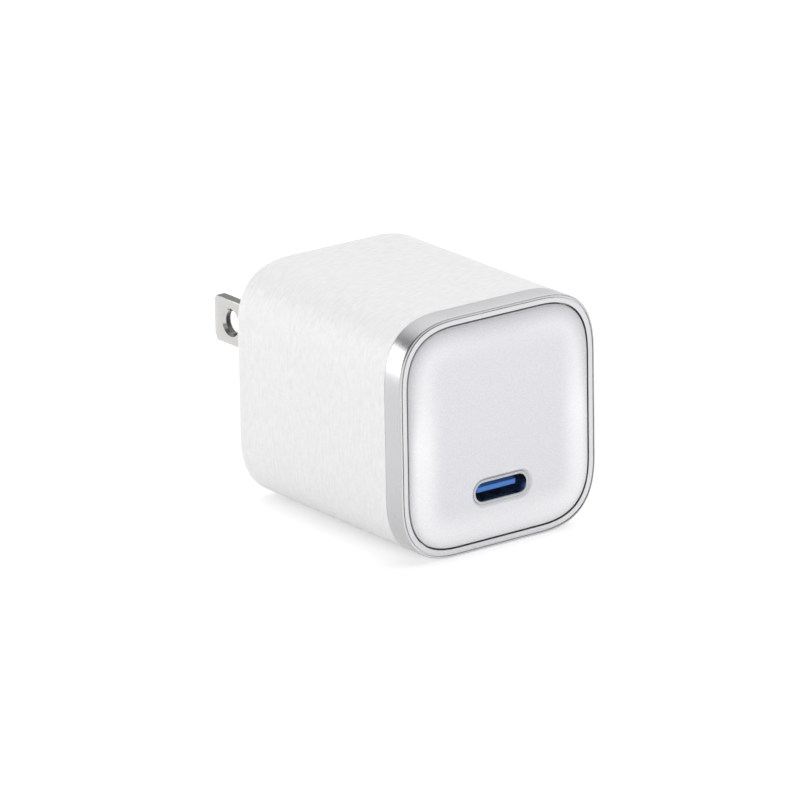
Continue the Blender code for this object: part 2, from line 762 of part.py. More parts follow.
def detent_spring():
    """A flat steel leaf that holds the rotor's cam at each end of its travel."""
    return box(
        "detent_spring",
        (-CAM_WIDTH / 2, CAM_WIDTH / 2),
        (SPRING_Y - LEAF, SPRING_Y),
        (CHAMBER_FLOOR + GAP, CHAMBER_TOP - GAP),
        "spring_steel",
    )


def tail_place(sign):
    """(x, z) of a contact's tail, which passes through the frame's front wall."""
    x = sign * (BLADE_X - BLADE_THICKNESS / 2 - GAP - LEAF / 2)
    return x, PIVOT_Z - (TANG_TOP + TANG_BOTTOM) / 2


def blade_contact(side, sign):
    """A bronze leaf beside the tang of an extended blade, with its tail through the frame."""
    x, z = tail_place(sign)
    cheek_sweep = math.hypot(CHEEK_REACH, TANG_BOTTOM + FINE_GAP + CHEEK_WALL)
    head = (TANG_BOTTOM - TANG_TOP) / 2 - FINE_GAP
    contact = box(
        f"blade_contact_{side}",
        (x - LEAF / 2, x + LEAF / 2),
        (PIVOT_Y - CHAMBER_REACH + GAP, PIVOT_Y - cheek_sweep - FINE_GAP),
        (z - head, z + head),
        "spring_bronze",
    )
    tail = box(
        f"contact_tail_{side}",
        (x - LEAF / 2, x + LEAF / 2),
        (FRAME_FRONT_Y - TAIL_REACH, PIVOT_Y - CHAMBER_REACH + 2 * GAP),
        (z - TAIL_HEIGHT / 2, z + TAIL_HEIGHT / 2),
    )
    join(contact, tail)
    return contact


def supply_lead(side, sign, finish):
    """An insulated wire from a contact's tail down to the board."""
    x, z = tail_place(sign)
    y = FRAME_FRONT_Y - LEAD_RADIUS - GAP
    foot_x = sign * (BOARD_HALF - LEAD_RADIUS - GAP)
    out_x = x + sign * (LEAD_RADIUS + LEAF / 2 + FINE_GAP)
    foot_z = BOARD_TOP + GAP
    route = [
        (out_x, z + TAIL_HEIGHT / 2),
        (out_x, z - TAIL_HEIGHT),
        (out_x + (foot_x - out_x) * 0.25, foot_z + (z - foot_z) * 0.6),
        (out_x + (foot_x - out_x) * 0.8, foot_z + (z - foot_z) * 0.35),
        (foot_x, foot_z + 2.4 * MM),
        (foot_x, foot_z),
    ]
    return wire(f"lead_{side}", [(a, y, b) for a, b in route], LEAD_RADIUS, finish)


def wire(name, route, radius, finish):
    """A round wire along a smooth curve through the route's points."""
    points = [Vector(p) for p in route]
    ends = [2 * points[0] - points[1], *points, 2 * points[-1] - points[-2]]
    line = []
    for a, b, c, d in zip(ends, ends[1:], ends[2:], ends[3:]):
        bend, twist = 2 * a - 5 * b + 4 * c - d, 3 * b - a - 3 * c + d
        for step in range(LEAD_STEPS):
            t = step / LEAD_STEPS
            line.append(0.5 * (2 * b + (c - a) * t + bend * t**2 + twist * t**3))
    line.append(points[-1])
    curve = bpy.data.curves.new(name, "CURVE")
    curve.dimensions = "3D"
    curve.bevel_depth = radius
    curve.bevel_resolution = 2
    curve.use_fill_caps = True
    spline = curve.splines.new("POLY")
    spline.points.add(len(line) - 1)
    for point, place in zip(spline.points, line):
        point.co = (*place, 1.0)
    made = bpy.data.objects.new(name, curve)
    bpy.context.scene.collection.objects.link(made)
    curve.materials.append(material(finish))
    return made


# ---------------------------------------------------------------- USB-C receptacle


def usb_shell():
    """The receptacle's drawn steel shell, with four legs through the board."""
    inner = (SHELL_WIDTH - 2 * SHELL_WALL, SHELL_HEIGHT - 2 * SHELL_WALL)
    ends = (SHELL_Y, SHELL_Y + SHELL_LENGTH)
    rings = [
        stadium(SHELL_WIDTH, SHELL_HEIGHT, ends[0]),
        stadium(SHELL_WIDTH, SHELL_HEIGHT, ends[1]),
        stadium(*inner, ends[1]),
        stadium(*inner, ends[0]),
    ]
    points = [p for ring in rings for p in ring]
    shell = mesh_object(
        "usb_shell", points, rings_to_faces(4, len(rings[0]), True), "usb_steel", True
    )
    for name, x, y in leg_places():
        leg = box(
            f"shell_leg_{name}",
            (x - LEG_THICKNESS / 2, x + LEG_THICKNESS / 2),
            (y, y + LEG_WIDTH),
            (BOARD_TOP - LEG_DROP, PORT_HEIGHT),
        )
        join(shell, leg)
    return shell


def leg_places():
    """(name, x, front y) of each of the shell's legs."""
    x = SHELL_WIDTH / 2 - LEG_THICKNESS / 2
    front = RIM_Y + BOARD_TONGUE_FRONT + GAP
    rear = SHELL_Y + SHELL_LENGTH - LEG_WIDTH - GAP
    return [
        (f"{row}_{side}", sign * x, y)
        for row, y in (("front", front), ("rear", rear))
        for side, sign in (("left", -1), ("right", 1))
    ]


def usb_tongue():
    """The receptacle's moulded insert: a base in the shell's rear and a thin tongue."""
    gap = FINE_GAP
    base_y = (SHELL_Y + TONGUE_RECESS + TONGUE_LENGTH, SHELL_Y + SHELL_LENGTH)
    width = SHELL_WIDTH - 2 * SHELL_WALL - 2 * gap
    height = SHELL_HEIGHT - 2 * SHELL_WALL - 2 * gap
    insert = loft("usb_tongue", [stadium(width, height, y) for y in base_y], "usb_blue", True)
    tongue = box(
        "tongue_blade",
        (-TONGUE_WIDTH / 2, TONGUE_WIDTH / 2),
        (SHELL_Y + TONGUE_RECESS, base_y[0] + GAP),
        (PORT_HEIGHT - TONGUE_THICKNESS / 2, PORT_HEIGHT + TONGUE_THICKNESS / 2),
    )
    join(insert, tongue)
    return insert


# ---------------------------------------------------------------- board and wrapping


def main_board():
    """The circuit board: wide across the housing, with a narrow tongue under the port."""
    neck_y = WRAP_FRONT_Y
    front_y = RIM_Y + BOARD_TONGUE_FRONT
    outline = [
        (-BOARD_TONGUE_HALF, front_y),
        (BOARD_TONGUE_HALF, front_y),
        (BOARD_TONGUE_HALF, neck_y),
        (BOARD_HALF, neck_y),
        (BOARD_HALF, WRAP_REAR_Y),
        (-BOARD_HALF, WRAP_REAR_Y),
        (-BOARD_HALF, neck_y),
        (-BOARD_TONGUE_HALF, neck_y),
    ]
    board = loft(
        "main_board",
        [[(x, y, z) for x, y in outline] for z in (BOARD_BOTTOM, BOARD_TOP)],
        "board_green",
    )
    for name, x, y in leg_places():
        slot = box(
            f"board_slot_{name}",
            (x - LEG_THICKNESS / 2 - FINE_GAP, x + LEG_THICKNESS / 2 + FINE_GAP),
            (y - FINE_GAP, y + LEG_WIDTH + FINE_GAP),
            (BOARD_BOTTOM - GAP, BOARD_TOP + GAP),
        )
        cut(board, slot)
    return board


def insulation_wrap():
    """The amber film rolled round the electronics."""
    inner = INSULATION_INSET + INSULATION
    stations = [
        (INSULATION_INSET, WRAP_FRONT_Y),
        (INSULATION_INSET, WRAP_REAR_Y),
        (inner, WRAP_REAR_Y),
        (inner, WRAP_FRONT_Y),
    ]
    return section_tube("insulation_wrap", stations, "film_amber")


def heat_spreader():
    """The metal trough under and beside the board."""
    stations = [
        (SPREADER_INSET, WRAP_FRONT_Y),
        (SPREADER_INSET, WRAP_REAR_Y),
        (INNER_INSET, WRAP_REAR_Y),
        (INNER_INSET, WRAP_FRONT_Y),
    ]
    spreader = section_tube("heat_spreader", stations, "spreader_metal")
    above = box(
        "spreader_open_top",
        (-WIDTH, WIDTH),
        (WRAP_FRONT_Y - GAP, WRAP_REAR_Y + GAP),
        (SPREADER_TOP, 2 * HEIGHT),
    )
    cut(spreader, above)
    return spreader


# ---------------------------------------------------------------- parts on the board


def bulk_capacitor(place, y):
    """A mains smoothing capacitor lying across the housing, with a rolled groove near one end."""
    half, r, bevel = BULK_HALF, BULK_RADIUS, BULK_END_BEVEL
    groove = half - BULK_GROOVE
    profile = [
        (-half, r - bevel),
        (-half + bevel, r),
        (groove - bevel, r),
        (groove, r - bevel),
        (groove + bevel, r),
        (half - bevel / 2, r),
        (half, r - bevel),
    ]
    return turned(f"bulk_capacitor_{place}", "x", (0, y, BULK_Z), profile, "can_sleeve")


def transformer_core(place):
    """One ferrite half: a plate, two outer legs and a round post."""
    middle_z = (PARTS_Z + CORE_TOP) / 2
    if place == "lower":
        plate, legs = (PARTS_Z, PARTS_Z + CORE_PLATE), (PARTS_Z, middle_z - GAP / 2)
    else:
        plate, legs = (CORE_TOP - CORE_PLATE, CORE_TOP), (middle_z + GAP / 2, CORE_TOP)
    x, y = CORE_X, CORE_Y
    span_y = (y - CORE_DEPTH / 2, y + CORE_DEPTH / 2)
    core = box(
        f"transformer_core_{place}",
        (x - CORE_WIDTH / 2, x + CORE_WIDTH / 2),
        span_y,
        plate,
        "ferrite",
    )
    for side, sign in (("left", -1), ("right", 1)):
        outer, inner = x + sign * CORE_WIDTH / 2, x + sign * (CORE_WIDTH / 2 - CORE_LEG)
        leg = box(f"core_leg_{place}_{side}", sorted((outer, inner)), span_y, legs)
        join(core, leg)
    post = turned(
        f"core_post_{place}",
        "z",
        (x, y, 0),
        [(legs[0], CORE_POST_RADIUS), (legs[1], CORE_POST_RADIUS)],
    )
    join(core, post)
    return core


def transformer_bobbin():
    """The spool between the two core halves."""
    low, high = PARTS_Z + CORE_PLATE + FINE_GAP, CORE_TOP - CORE_PLATE - FINE_GAP
    hole = CORE_POST_RADIUS + FINE_GAP
    barrel = hole + BOBBIN_WALL
    rings = [
        (low, hole),
        (low, WINDING_RADIUS),
        (low + BOBBIN_FLANGE, WINDING_RADIUS),
        (low + BOBBIN_FLANGE, barrel),
        (high - BOBBIN_FLANGE, barrel),
        (high - BOBBIN_FLANGE, WINDING_RADIUS),
        (high, WINDING_RADIUS),
        (high, hole),
    ]
    return turned_ring("transformer_bobbin", "z", (CORE_X, CORE_Y, 0), rings, "bobbin_black")


def transformer_winding():
    """The taped winding on the bobbin."""
    low = PARTS_Z + CORE_PLATE + FINE_GAP + BOBBIN_FLANGE + FINE_GAP
    high = CORE_TOP - CORE_PLATE - FINE_GAP - BOBBIN_FLANGE - FINE_GAP
    inner = CORE_POST_RADIUS + FINE_GAP + BOBBIN_WALL + FINE_GAP
    profile = tube_profile((low, high), inner, WINDING_RADIUS - FINE_GAP)
    return turned_ring("transformer_winding", "z", (CORE_X, CORE_Y, 0), profile, "tape_yellow")


def output_capacitor(place, y):
    """A polymer can that smooths the output."""
    r, h, b = OUTPUT_CAN_RADIUS, OUTPUT_CAN_HEIGHT, OUTPUT_CAN_BEVEL
    profile = [(0, r - b), (b, r), (2 * b, r - b / 2), (3 * b, r), (h - b, r), (h, r - b)]
    centre = (OUTPUT_CAN_X, y, PARTS_Z)
    return turned(f"output_capacitor_{place}", "z", centre, profile, "can_aluminium")


def disc_part(name, x, radius, thickness, finish):
    """A dipped disc, standing on the board in front of the transformer."""
    edge = radius - DISC_EDGE
    profile = [
        (0, edge),
        (DISC_EDGE, radius),
        (thickness - DISC_EDGE, radius),
        (thickness, edge),
    ]
    return turned(name, "y", (x, PARTS_FRONT_Y, PARTS_Z + radius), profile, finish)


def choke_core():
    """The common-mode choke's ferrite ring."""
    ends = (-TOROID_WIDTH / 2, TOROID_WIDTH / 2)
    profile = tube_profile(ends, TOROID_INNER, TOROID_OUTER)
    return turned_ring("choke_core", "y", CHOKE_CENTRE, profile, "ferrite")


def choke_winding(side, sign):
    """One of the choke's two windings, a sleeve round part of the ring."""
    cx, cy, cz = CHOKE_CENTRE
    middle = 0.0 if sign > 0 else math.pi
    points = []
    for grow in (FINE_GAP + WIRE_LAYER, FINE_GAP):
        half = TOROID_WIDTH / 2 + grow
        radii = (TOROID_INNER - grow, TOROID_OUTER + grow, TOROID_OUTER + grow, TOROID_INNER - grow)
        for step in range(WINDING_STEPS + 1):
            angle = middle + WINDING_SWEEP * (step / WINDING_STEPS - 0.5)
            for r, y in zip(radii, (-half, -half, half, half)):
                points.append((cx + r * math.cos(angle), cy + y, cz + r * math.sin(angle)))
    corners = [(k, (k + 1) % 4) for k in range(4)]
    inner = 4 * (WINDING_STEPS + 1)
    faces = []
    for start in (0, inner):
        for step in range(WINDING_STEPS):
            a, b = start + 4 * step, start + 4 * (step + 1)
            faces += [(a + k, a + m, b + m, b + k) for k, m in corners]
    for a in (0, 4 * WINDING_STEPS):
        faces += [(a + k, a + m, a + inner + m, a + inner + k) for k, m in corners]
    return mesh_object(f"choke_winding_{side}", points, faces, "copper_wire")


# Places of the parts on the board
CORE_X = -BOARD_HALF + CORE_WIDTH / 2 + GAP
CORE_Y = PARTS_FRONT_Y + Y_CAP_THICKNESS + GAP + CORE_DEPTH / 2
OUTPUT_CAN_X = CORE_X + CORE_WIDTH / 2 + GAP + OUTPUT_CAN_RADIUS
OUTPUT_CAN_Y = PARTS_FRONT_Y + THERMISTOR_THICKNESS + GAP + OUTPUT_CAN_RADIUS
CHOKE_REACH = TOROID_OUTER + FINE_GAP + WIRE_LAYER
Y_CAP_X = -(SHELL_WIDTH / 2 + GAP + Y_CAP_RADIUS)
THERMISTOR_X = SHELL_WIDTH / 2 + GAP + THERMISTOR_RADIUS
X_CAP_X = -BOARD_HALF + GAP + X_CAP_SIZE[0] / 2
CHOKE_CENTRE = (
    X_CAP_X + X_CAP_SIZE[0] / 2 + GAP + CHOKE_REACH,
    PARTS_REAR_Y - TOROID_WIDTH / 2 - FINE_GAP - WIRE_LAYER,
    PARTS_Z + CHOKE_REACH,
)
PAD_HALF = SWITCH_CHIP_SIZE[0] / 2 + GAP
RECTIFIER_CHIP_X = PAD_HALF + GAP + RECTIFIER_CHIP_SIZE[0] / 2
FUSE_X = CHOKE_CENTRE[0] + CHOKE_REACH + GAP + FUSE_SIZE[0] / 2


def under_board(name, x, y, size):
    """A flat chip soldered under the board, drawn in from the spreader's sides where it must be."""
    foot = UNDER_Z - size[2]
    reach = half_width_at(foot, INNER_INSET) - GAP - size[0] / 2
    return sized_box(name, max(-reach, min(reach, x)), y, foot, size, "chip_black")


def board_parts():
    """Everything that is soldered to the board."""
    bulk_front = PARTS_FRONT_Y + BULK_RADIUS
    bulk_capacitor("front", bulk_front)
    bulk_capacitor("rear", bulk_front + 2 * BULK_RADIUS + GAP)
    transformer_core("lower")
    transformer_core("upper")
    transformer_bobbin()
    transformer_winding()
    output_capacitor("front", OUTPUT_CAN_Y)
    output_capacitor("rear", OUTPUT_CAN_Y + 2 * OUTPUT_CAN_RADIUS + GAP)
    disc_part("y_capacitor", Y_CAP_X, Y_CAP_RADIUS, Y_CAP_THICKNESS, "ceramic_blue")
    disc_part(
        "inrush_thermistor",
        THERMISTOR_X,
        THERMISTOR_RADIUS,
        THERMISTOR_THICKNESS,
        "ceramic_green",
    )
    x_cap_y = PARTS_REAR_Y - X_CAP_SIZE[1]
    sized_box("x_capacitor", X_CAP_X, x_cap_y, PARTS_Z, X_CAP_SIZE, "film_grey")
    fuse_y = PARTS_REAR_Y - FUSE_SIZE[1]
    sized_box("fuse", FUSE_X, fuse_y, PARTS_Z, FUSE_SIZE, "fuse_brown")
    choke_core()
    choke_winding("left", -1)
    choke_winding("right", 1)
    bridge_y = PARTS_REAR_Y - BRIDGE_SIZE[1]
    under_board("bridge_rectifier", X_CAP_X, bridge_y, BRIDGE_SIZE)
    chip_y = CORE_Y - SWITCH_CHIP_SIZE[1] / 2
    under_board("switch_chip", 0.0, chip_y, SWITCH_CHIP_SIZE)
    under_board("rectifier_chip", RECTIFIER_CHIP_X, chip_y, RECTIFIER_CHIP_SIZE)
    under_board("control_chip", 0.0, RIM_Y + BOARD_TONGUE_FRONT + GAP, CONTROL_CHIP_SIZE)
    pad_top = UNDER_Z - SWITCH_CHIP_SIZE[2] - FINE_GAP
    box(
        "thermal_pad",
        (-PAD_HALF, PAD_HALF),
        (chip_y - GAP, chip_y + SWITCH_CHIP_SIZE[1] + GAP),
        (INNER_INSET + FINE_GAP, pad_top),
        "pad_grey",
    )


# ---------------------------------------------------------------- the object


def main():
    clear_scene()
    housing_sleeve()
    bezel_ring()
    front_cover()
    rear_cap()
    plug_frame()
    plug_rotor()
    plug_blade("left", -1)
    plug_blade("right", 1)
    detent_spring()
    blade_contact("left", -1)
    blade_contact("right", 1)
    supply_lead("left", -1, "lead_black")
    supply_lead("right", 1, "lead_red")
    usb_shell()
    usb_tongue()
    main_board()
    insulation_wrap()
    heat_spreader()
    board_parts()


main()
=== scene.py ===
"""Looks of the compact USB-C wall charger with folding blades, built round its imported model.

Metres, in the frame of the model: +X right seen from the front, +Y to the rear, +Z up.
"""

import json
import math

import bmesh
import bpy
import numpy as np
from mathutils import Matrix, Vector

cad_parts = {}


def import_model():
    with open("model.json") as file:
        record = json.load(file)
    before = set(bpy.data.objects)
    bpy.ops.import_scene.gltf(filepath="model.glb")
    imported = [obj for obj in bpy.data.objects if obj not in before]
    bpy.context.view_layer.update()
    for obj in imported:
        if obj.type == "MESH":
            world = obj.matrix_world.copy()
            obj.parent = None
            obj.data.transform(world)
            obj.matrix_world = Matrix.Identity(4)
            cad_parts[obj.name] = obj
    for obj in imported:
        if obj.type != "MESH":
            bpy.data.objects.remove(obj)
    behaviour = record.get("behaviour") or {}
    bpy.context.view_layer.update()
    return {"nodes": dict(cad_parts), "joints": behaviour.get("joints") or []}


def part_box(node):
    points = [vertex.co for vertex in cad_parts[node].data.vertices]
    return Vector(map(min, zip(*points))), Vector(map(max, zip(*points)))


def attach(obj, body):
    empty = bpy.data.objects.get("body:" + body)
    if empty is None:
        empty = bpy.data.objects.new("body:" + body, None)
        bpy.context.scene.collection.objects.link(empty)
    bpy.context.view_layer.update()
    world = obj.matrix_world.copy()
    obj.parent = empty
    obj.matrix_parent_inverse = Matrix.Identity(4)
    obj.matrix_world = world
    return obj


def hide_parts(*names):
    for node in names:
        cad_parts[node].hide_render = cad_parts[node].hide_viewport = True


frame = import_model()

MM = 0.001

# ---------------------------------------------------------------- sizes, as the model has them

WIDTH = 32.0 * MM
HEIGHT = 32.8 * MM
CORNER = 9.8 * MM
CORNER_POWER = 2.75
MIDDLE_Z = HEIGHT / 2
WALL = 1.5 * MM
REAR_ROUND = 2.1 * MM
RIM_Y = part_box("bezel_ring")[0].y
REAR_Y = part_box("rear_cap")[1].y
BAND = 3.35 * MM
RIM = 1.13 * MM
SEAT_DEPTH = 1.9 * MM
SKIRT_DEPTH = 7.0 * MM
SKIRT_INSET = 1.8 * MM
SKIRT_WALL = 1.0 * MM
CROWN = 0.6 * MM
EDGE_DROP = 0.12 * MM
CROWN_POWER = 3.0
CROWN_FLAT = 0.3

CAP_INSET = 2.4 * MM
CAP_PLATE = 1.2 * MM
CAP_LIP = 1.6 * MM
CAP_FLANGE = 1.2 * MM
CAP_SKIRT = 0.85 * MM
CAP_ROOM = 0.3 * MM

PORT_Z = 8.0 * MM
SHELL_WIDTH = 8.94 * MM
SHELL_HEIGHT = 3.16 * MM
SHELL_WALL = 0.3 * MM
SHELL_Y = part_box("usb_shell")[0].y
SHELL_END_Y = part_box("usb_shell")[1].y
TONGUE_WIDTH = 6.69 * MM
TONGUE_HALF = 0.35 * MM
TONGUE_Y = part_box("usb_tongue")[0].y
TONGUE_LENGTH = 4.6 * MM

BLADE_X = 6.35 * MM
BLADE_HEIGHT = 6.35 * MM
BLADE_THICKNESS = 1.5 * MM
NECK_THICKNESS = 1.3 * MM
TIP_LENGTH = 1.0 * MM
TIP_HEIGHT = 5.0 * MM
TIP_THICKNESS = 0.7 * MM
HOLE_RADIUS = 1.59 * MM
HOLE_FROM_TIP = 4.2 * MM
SINK = 0.4 * MM
BLADE_LOW, BLADE_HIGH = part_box("blade_left")
BLADE_Z = (BLADE_LOW.z + BLADE_HIGH.z) / 2
TIP_Y = BLADE_HIGH.y
PIVOT_Y, PIVOT_Z = Vector(frame["joints"][0]["pos_m"]).yz
BARREL_RADIUS = 1.0 * MM
BARREL_HALF = 8.2 * MM
TRUNNION_RADIUS = 0.65 * MM
TRUNNION_HALF = 9.45 * MM
TANG_TOP = 0.9 * MM
TANG_BOTTOM = 3.4 * MM
TANG_REACH = 5.4 * MM
SLOT_HALF = 1.15 * MM  # of a blade's slot in the rear cap
SLOT_FLOOR = 2.923 * MM

# ---------------------------------------------------------------- mesh helpers

SHARP = math.radians(32)  # edges that turn by more than this stay sharp
SECTION_STEPS = 28  # facets of a corner of the housing's outline


def rounded(corners, steps=4, closed=True):
    """A profile whose corners, as (a, b, radius), are rounded."""
    path = []
    last = len(corners) - 1
    for k, (a, b, radius) in enumerate(corners):
        here = Vector((a, b))
        if radius == 0 or (not closed and k in (0, last)):
            path.append((a, b))
            continue
        before = (Vector(corners[k - 1][:2]) - here).normalized()
        after = (Vector(corners[(k + 1) % len(corners)][:2]) - here).normalized()
        half = before.angle(after) / 2
        middle = here + (before + after).normalized() * (radius / math.sin(half))
        start = here + before * (radius / math.tan(half))
        end = here + after * (radius / math.tan(half))
        for step in range(steps + 1):
            spoke = start.lerp(end, step / steps) - middle
            path.append(tuple(middle + spoke.normalized() * radius))
    return path


def section(inset, flat_steps=1):
    """The housing's outline drawn in by inset, as (x, z) points."""
    radius = max(CORNER - inset, 0.5 * MM)
    across = WIDTH / 2 - inset - radius
    up = HEIGHT / 2 - inset - radius
    ring = []
    for corner in range(4):
        turn = corner * math.pi / 2
        centre_x = across if corner in (0, 3) else -across
        centre_z = up if corner in (0, 1) else -up
        for step in range(SECTION_STEPS + 1):
            angle = step / SECTION_STEPS * math.pi / 2
            c, s = math.cos(angle), math.sin(angle)
            reach = radius * (c**CORNER_POWER + s**CORNER_POWER) ** (-1 / CORNER_POWER)
            ring.append(
                (
                    centre_x + reach * math.cos(angle + turn),
                    MIDDLE_Z + centre_z + reach * math.sin(angle + turn),
                )
            )
    full = []
    for k, (x, z) in enumerate(ring):
        full.append((x, z))
        if (k + 1) % (SECTION_STEPS + 1) == 0:
            next_x, next_z = ring[(k + 1) % len(ring)]
            for step in range(1, flat_steps):
                t = step / flat_steps
                full.append((x + (next_x - x) * t, z + (next_z - z) * t))
    return full


def stadium(width, height, steps=20):
    """A slot's outline with round ends, as (x, z) points round the port's centre."""
    radius = height / 2
    across = width / 2 - radius
    ring = []
    for side in (1, -1):
        for step in range(steps + 1):
            angle = -math.pi / 2 + math.pi * step / steps
            ring.append(
                (
                    side * (across + radius * math.cos(angle)),
                    PORT_Z + side * radius * math.sin(angle),
                )
            )
    return ring


def volume(points, faces):
    """Six times the signed volume inside the faces."""
    total = 0.0
    for face in faces:
        a = Vector(points[face[0]])
        for m, n in zip(face[1:], face[2:]):
            total += a.dot(Vector(points[m]).cross(Vector(points[n])))
    return total


def linked(name, data):
    """A new object with this data, in the scene."""
    made = bpy.data.objects.new(name, data)
    bpy.context.scene.collection.objects.link(made)
    return made


def smoothed(mesh):
    """Smooth faces, with the edges that turn by more than SHARP kept sharp."""
    mesh.shade_smooth()
    mesh.set_sharp_from_angle(angle=SHARP)


def from_shape(name, shape):
    """A bmesh as an object, with its curves smooth. The bmesh is freed."""
    mesh = bpy.data.meshes.new(name)
    shape.to_mesh(mesh)
    shape.free()
    smoothed(mesh)
    return linked(name, mesh)


def mesh_piece(name, points, faces, uvs=None):
    """A closed mesh as an object, with its faces pointing out and its curves smooth."""
    if volume(points, faces) < 0:
        faces = [tuple(reversed(face)) for face in faces]
        uvs = uvs and [tuple(reversed(corners)) for corners in uvs]
    mesh = bpy.data.meshes.new(name)
    mesh.from_pydata([tuple(p) for p in points], [], faces)
    if uvs:
        layer = mesh.uv_layers.new(name="surface")
        layer.data.foreach_set("uv", [v for corners in uvs for uv in corners for v in uv])
    smoothed(mesh)
    return linked(name, mesh)


def ring_faces(count, sides, closed):
    """Quads between rings of points. The last ring joins the first, or both are capped."""
    faces = []
    for ring in range(count if closed else count - 1):
        a, b = ring * sides, (ring + 1) % count * sides
        for k in range(sides):
            m = (k + 1) % sides
            faces.append((a + k, a + m, b + m, b + k))
    if not closed:
        faces.append(tuple(reversed(range(sides))))
        faces.append(tuple(range((count - 1) * sides, count * sides)))
    return faces


def along_y(a, b, c):
    """The point of an outline's (a, b) at a distance c along Y."""
    return (a, c, b)


def along_z(a, b, c):
    """The point of an outline's (a, b) at a distance c along Z."""
    return (a, b, c)


def tube(name, outline, stations, closed=True, place=along_y):
    """A skin that follows outline(inset) at each station, (inset, distance along)."""
    rings = [outline(inset) for inset, _ in stations]
    sides = len(rings[0])
    points = [place(a, b, c) for ring, (_, c) in zip(rings, stations) for a, b in ring]
    faces = ring_faces(len(rings), sides, closed)
    lap = np.array(rings[0] + rings[0][:1])
    round_it = np.concatenate([[0], np.hypot(*np.diff(lap, axis=0).T).cumsum()])
    path = stations + stations[:1]
    down_it = np.concatenate([[0], np.hypot(*np.diff(np.array(path), axis=0).T).cumsum()])
    uvs = []
    for ring in range(len(stations) if closed else len(stations) - 1):
        for k in range(sides):
            left, right = round_it[k], round_it[k + 1]
            low, high = down_it[ring], down_it[ring + 1]
            uvs.append(((left, low), (right, low), (right, high), (left, high)))
    if not closed:
        uvs += [tuple(reversed(rings[0])), tuple(rings[-1])]
    return mesh_piece(name, points, faces, uvs)


def turned(name, centre, profile, sides=64):
    """A solid turned about X through centre. The profile is (distance along X, radius)."""
    x, y, z = centre
    points = []
    for along, radius in profile:
        for k in range(sides):
            angle = (k + 0.5) / sides * 2 * math.pi
            points.append((x + along, y + radius * math.cos(angle), z + radius * math.sin(angle)))
    return mesh_piece(name, points, ring_faces(len(profile), sides, False))


def block(name, x, y, z, edge=0.0, steps=3):
    """A box between pairs of x, y and z, with rounded edges."""
    low, high = Vector((min(x), min(y), min(z))), Vector((max(x), max(y), max(z)))
    shape = bmesh.new()
    size = high - low
    fit = Matrix.Translation((low + high) / 2) @ Matrix.Diagonal((*size, 1))
    bmesh.ops.create_cube(shape, size=1, matrix=fit)
    if edge:
        bmesh.ops.bevel(
            shape,
            geom=shape.edges[:],
            offset=edge,
            segments=steps,
            profile=0.5,
            affect="EDGES",
        )
    return from_shape(name, shape)


def carve(target, operation, *tools):
    """target with the tools cut away or joined on, as one clean mesh."""
    for tool in tools:
        step = target.modifiers.new(tool.name, "BOOLEAN")
        step.operation = operation
        step.object = tool
        step.solver = "EXACT"
    graph = bpy.context.evaluated_depsgraph_get()
    made = bpy.data.meshes.new_from_object(target.evaluated_get(graph))
    made.name = target.name
    target.modifiers.clear()
    target.data = made
    for tool in tools:
        bpy.data.objects.remove(tool)
    made.validate()
    smoothed(made)
    return target


def gathered(name, parts):
    """Several pieces as one object."""
    shape = bmesh.new()
    for part in parts:
        shape.from_mesh(part.data)
        bpy.data.objects.remove(part)
    return from_shape(name, shape)


# ---------------------------------------------------------------- materials


def node(tree, kind, into=(), **settings):
    """A shader node with its settings made and its inputs set or linked."""
    made = tree.nodes.new("ShaderNode" + kind)
    for name, value in settings.items():
        setattr(made, name, value)
    for name, value in dict(into).items():
        if isinstance(value, bpy.types.NodeSocket):
            tree.links.new(value, made.inputs[name])
        else:
            made.inputs[name].default_value = value
    return made


def shader(name, roughness, metallic=0.0, **more):
    """(tree, Principled shader) of a new material, with its plain values set."""
    made = bpy.data.materials.new("look_" + name)
    made.use_nodes = True
    tree = made.node_tree
    main = tree.nodes["Principled BSDF"]
    main.inputs["Roughness"].default_value = roughness
    main.inputs["Metallic"].default_value = metallic
    for socket, value in more.items():
        main.inputs[socket.replace("_", " ")].default_value = value
    return made, tree, main


def place_of(tree, scale=None, uv=None):
    """A texture's place on the piece: its own coordinates or a UV map, stretched by scale."""
    if uv:
        source = node(tree, "UVMap", uv_map=uv).outputs["UV"]
    else:
        source = node(tree, "TexCoord").outputs["Object"]
    if scale is None:
        return source
    return node(tree, "Mapping", {"Vector": source, "Scale": scale}).outputs["Vector"]


def noise(tree, place, scale, detail):
    """Plain noise at a place, from 0 to 1 with most of it near the middle."""
    return node(
        tree, "TexNoise", {"Vector": place, "Scale": scale, "Detail": detail}
    ).outputs["Fac"]


def spread(tree, value, low, high, start=0.3, end=0.7):
    """A value in start..end mapped to low..high."""
    return node(
        tree,
        "MapRange",
        {"Value": value, "From Min": start, "From Max": end, "To Min": low, "To Max": high},
    ).outputs["Result"]


def mixed(tree, share, a, b):
    """The colour between a and b at this share."""
    made = tree.nodes.new("ShaderNodeMix")
    made.data_type = "RGBA"
    sockets = {socket.identifier: socket for socket in made.inputs}
    tree.links.new(share, sockets["Factor_Float"])
    for key, value in (("A_Color", a), ("B_Color", b)):
        if isinstance(value, bpy.types.NodeSocket):
            tree.links.new(value, sockets[key])
        else:
            sockets[key].default_value = (*value, 1.0)
    return {socket.identifier: socket for socket in made.outputs}["Result_Color"]


def math_of(tree, operation, a, b=0.0):
    """The result of a math node on two values or sockets."""
    made = tree.nodes.new("ShaderNodeMath")
    made.operation = operation
    for socket, value in zip(made.inputs, (a, b)):
        if isinstance(value, bpy.types.NodeSocket):
            tree.links.new(value, socket)
        else:
            socket.default_value = value
    return made.outputs[0]


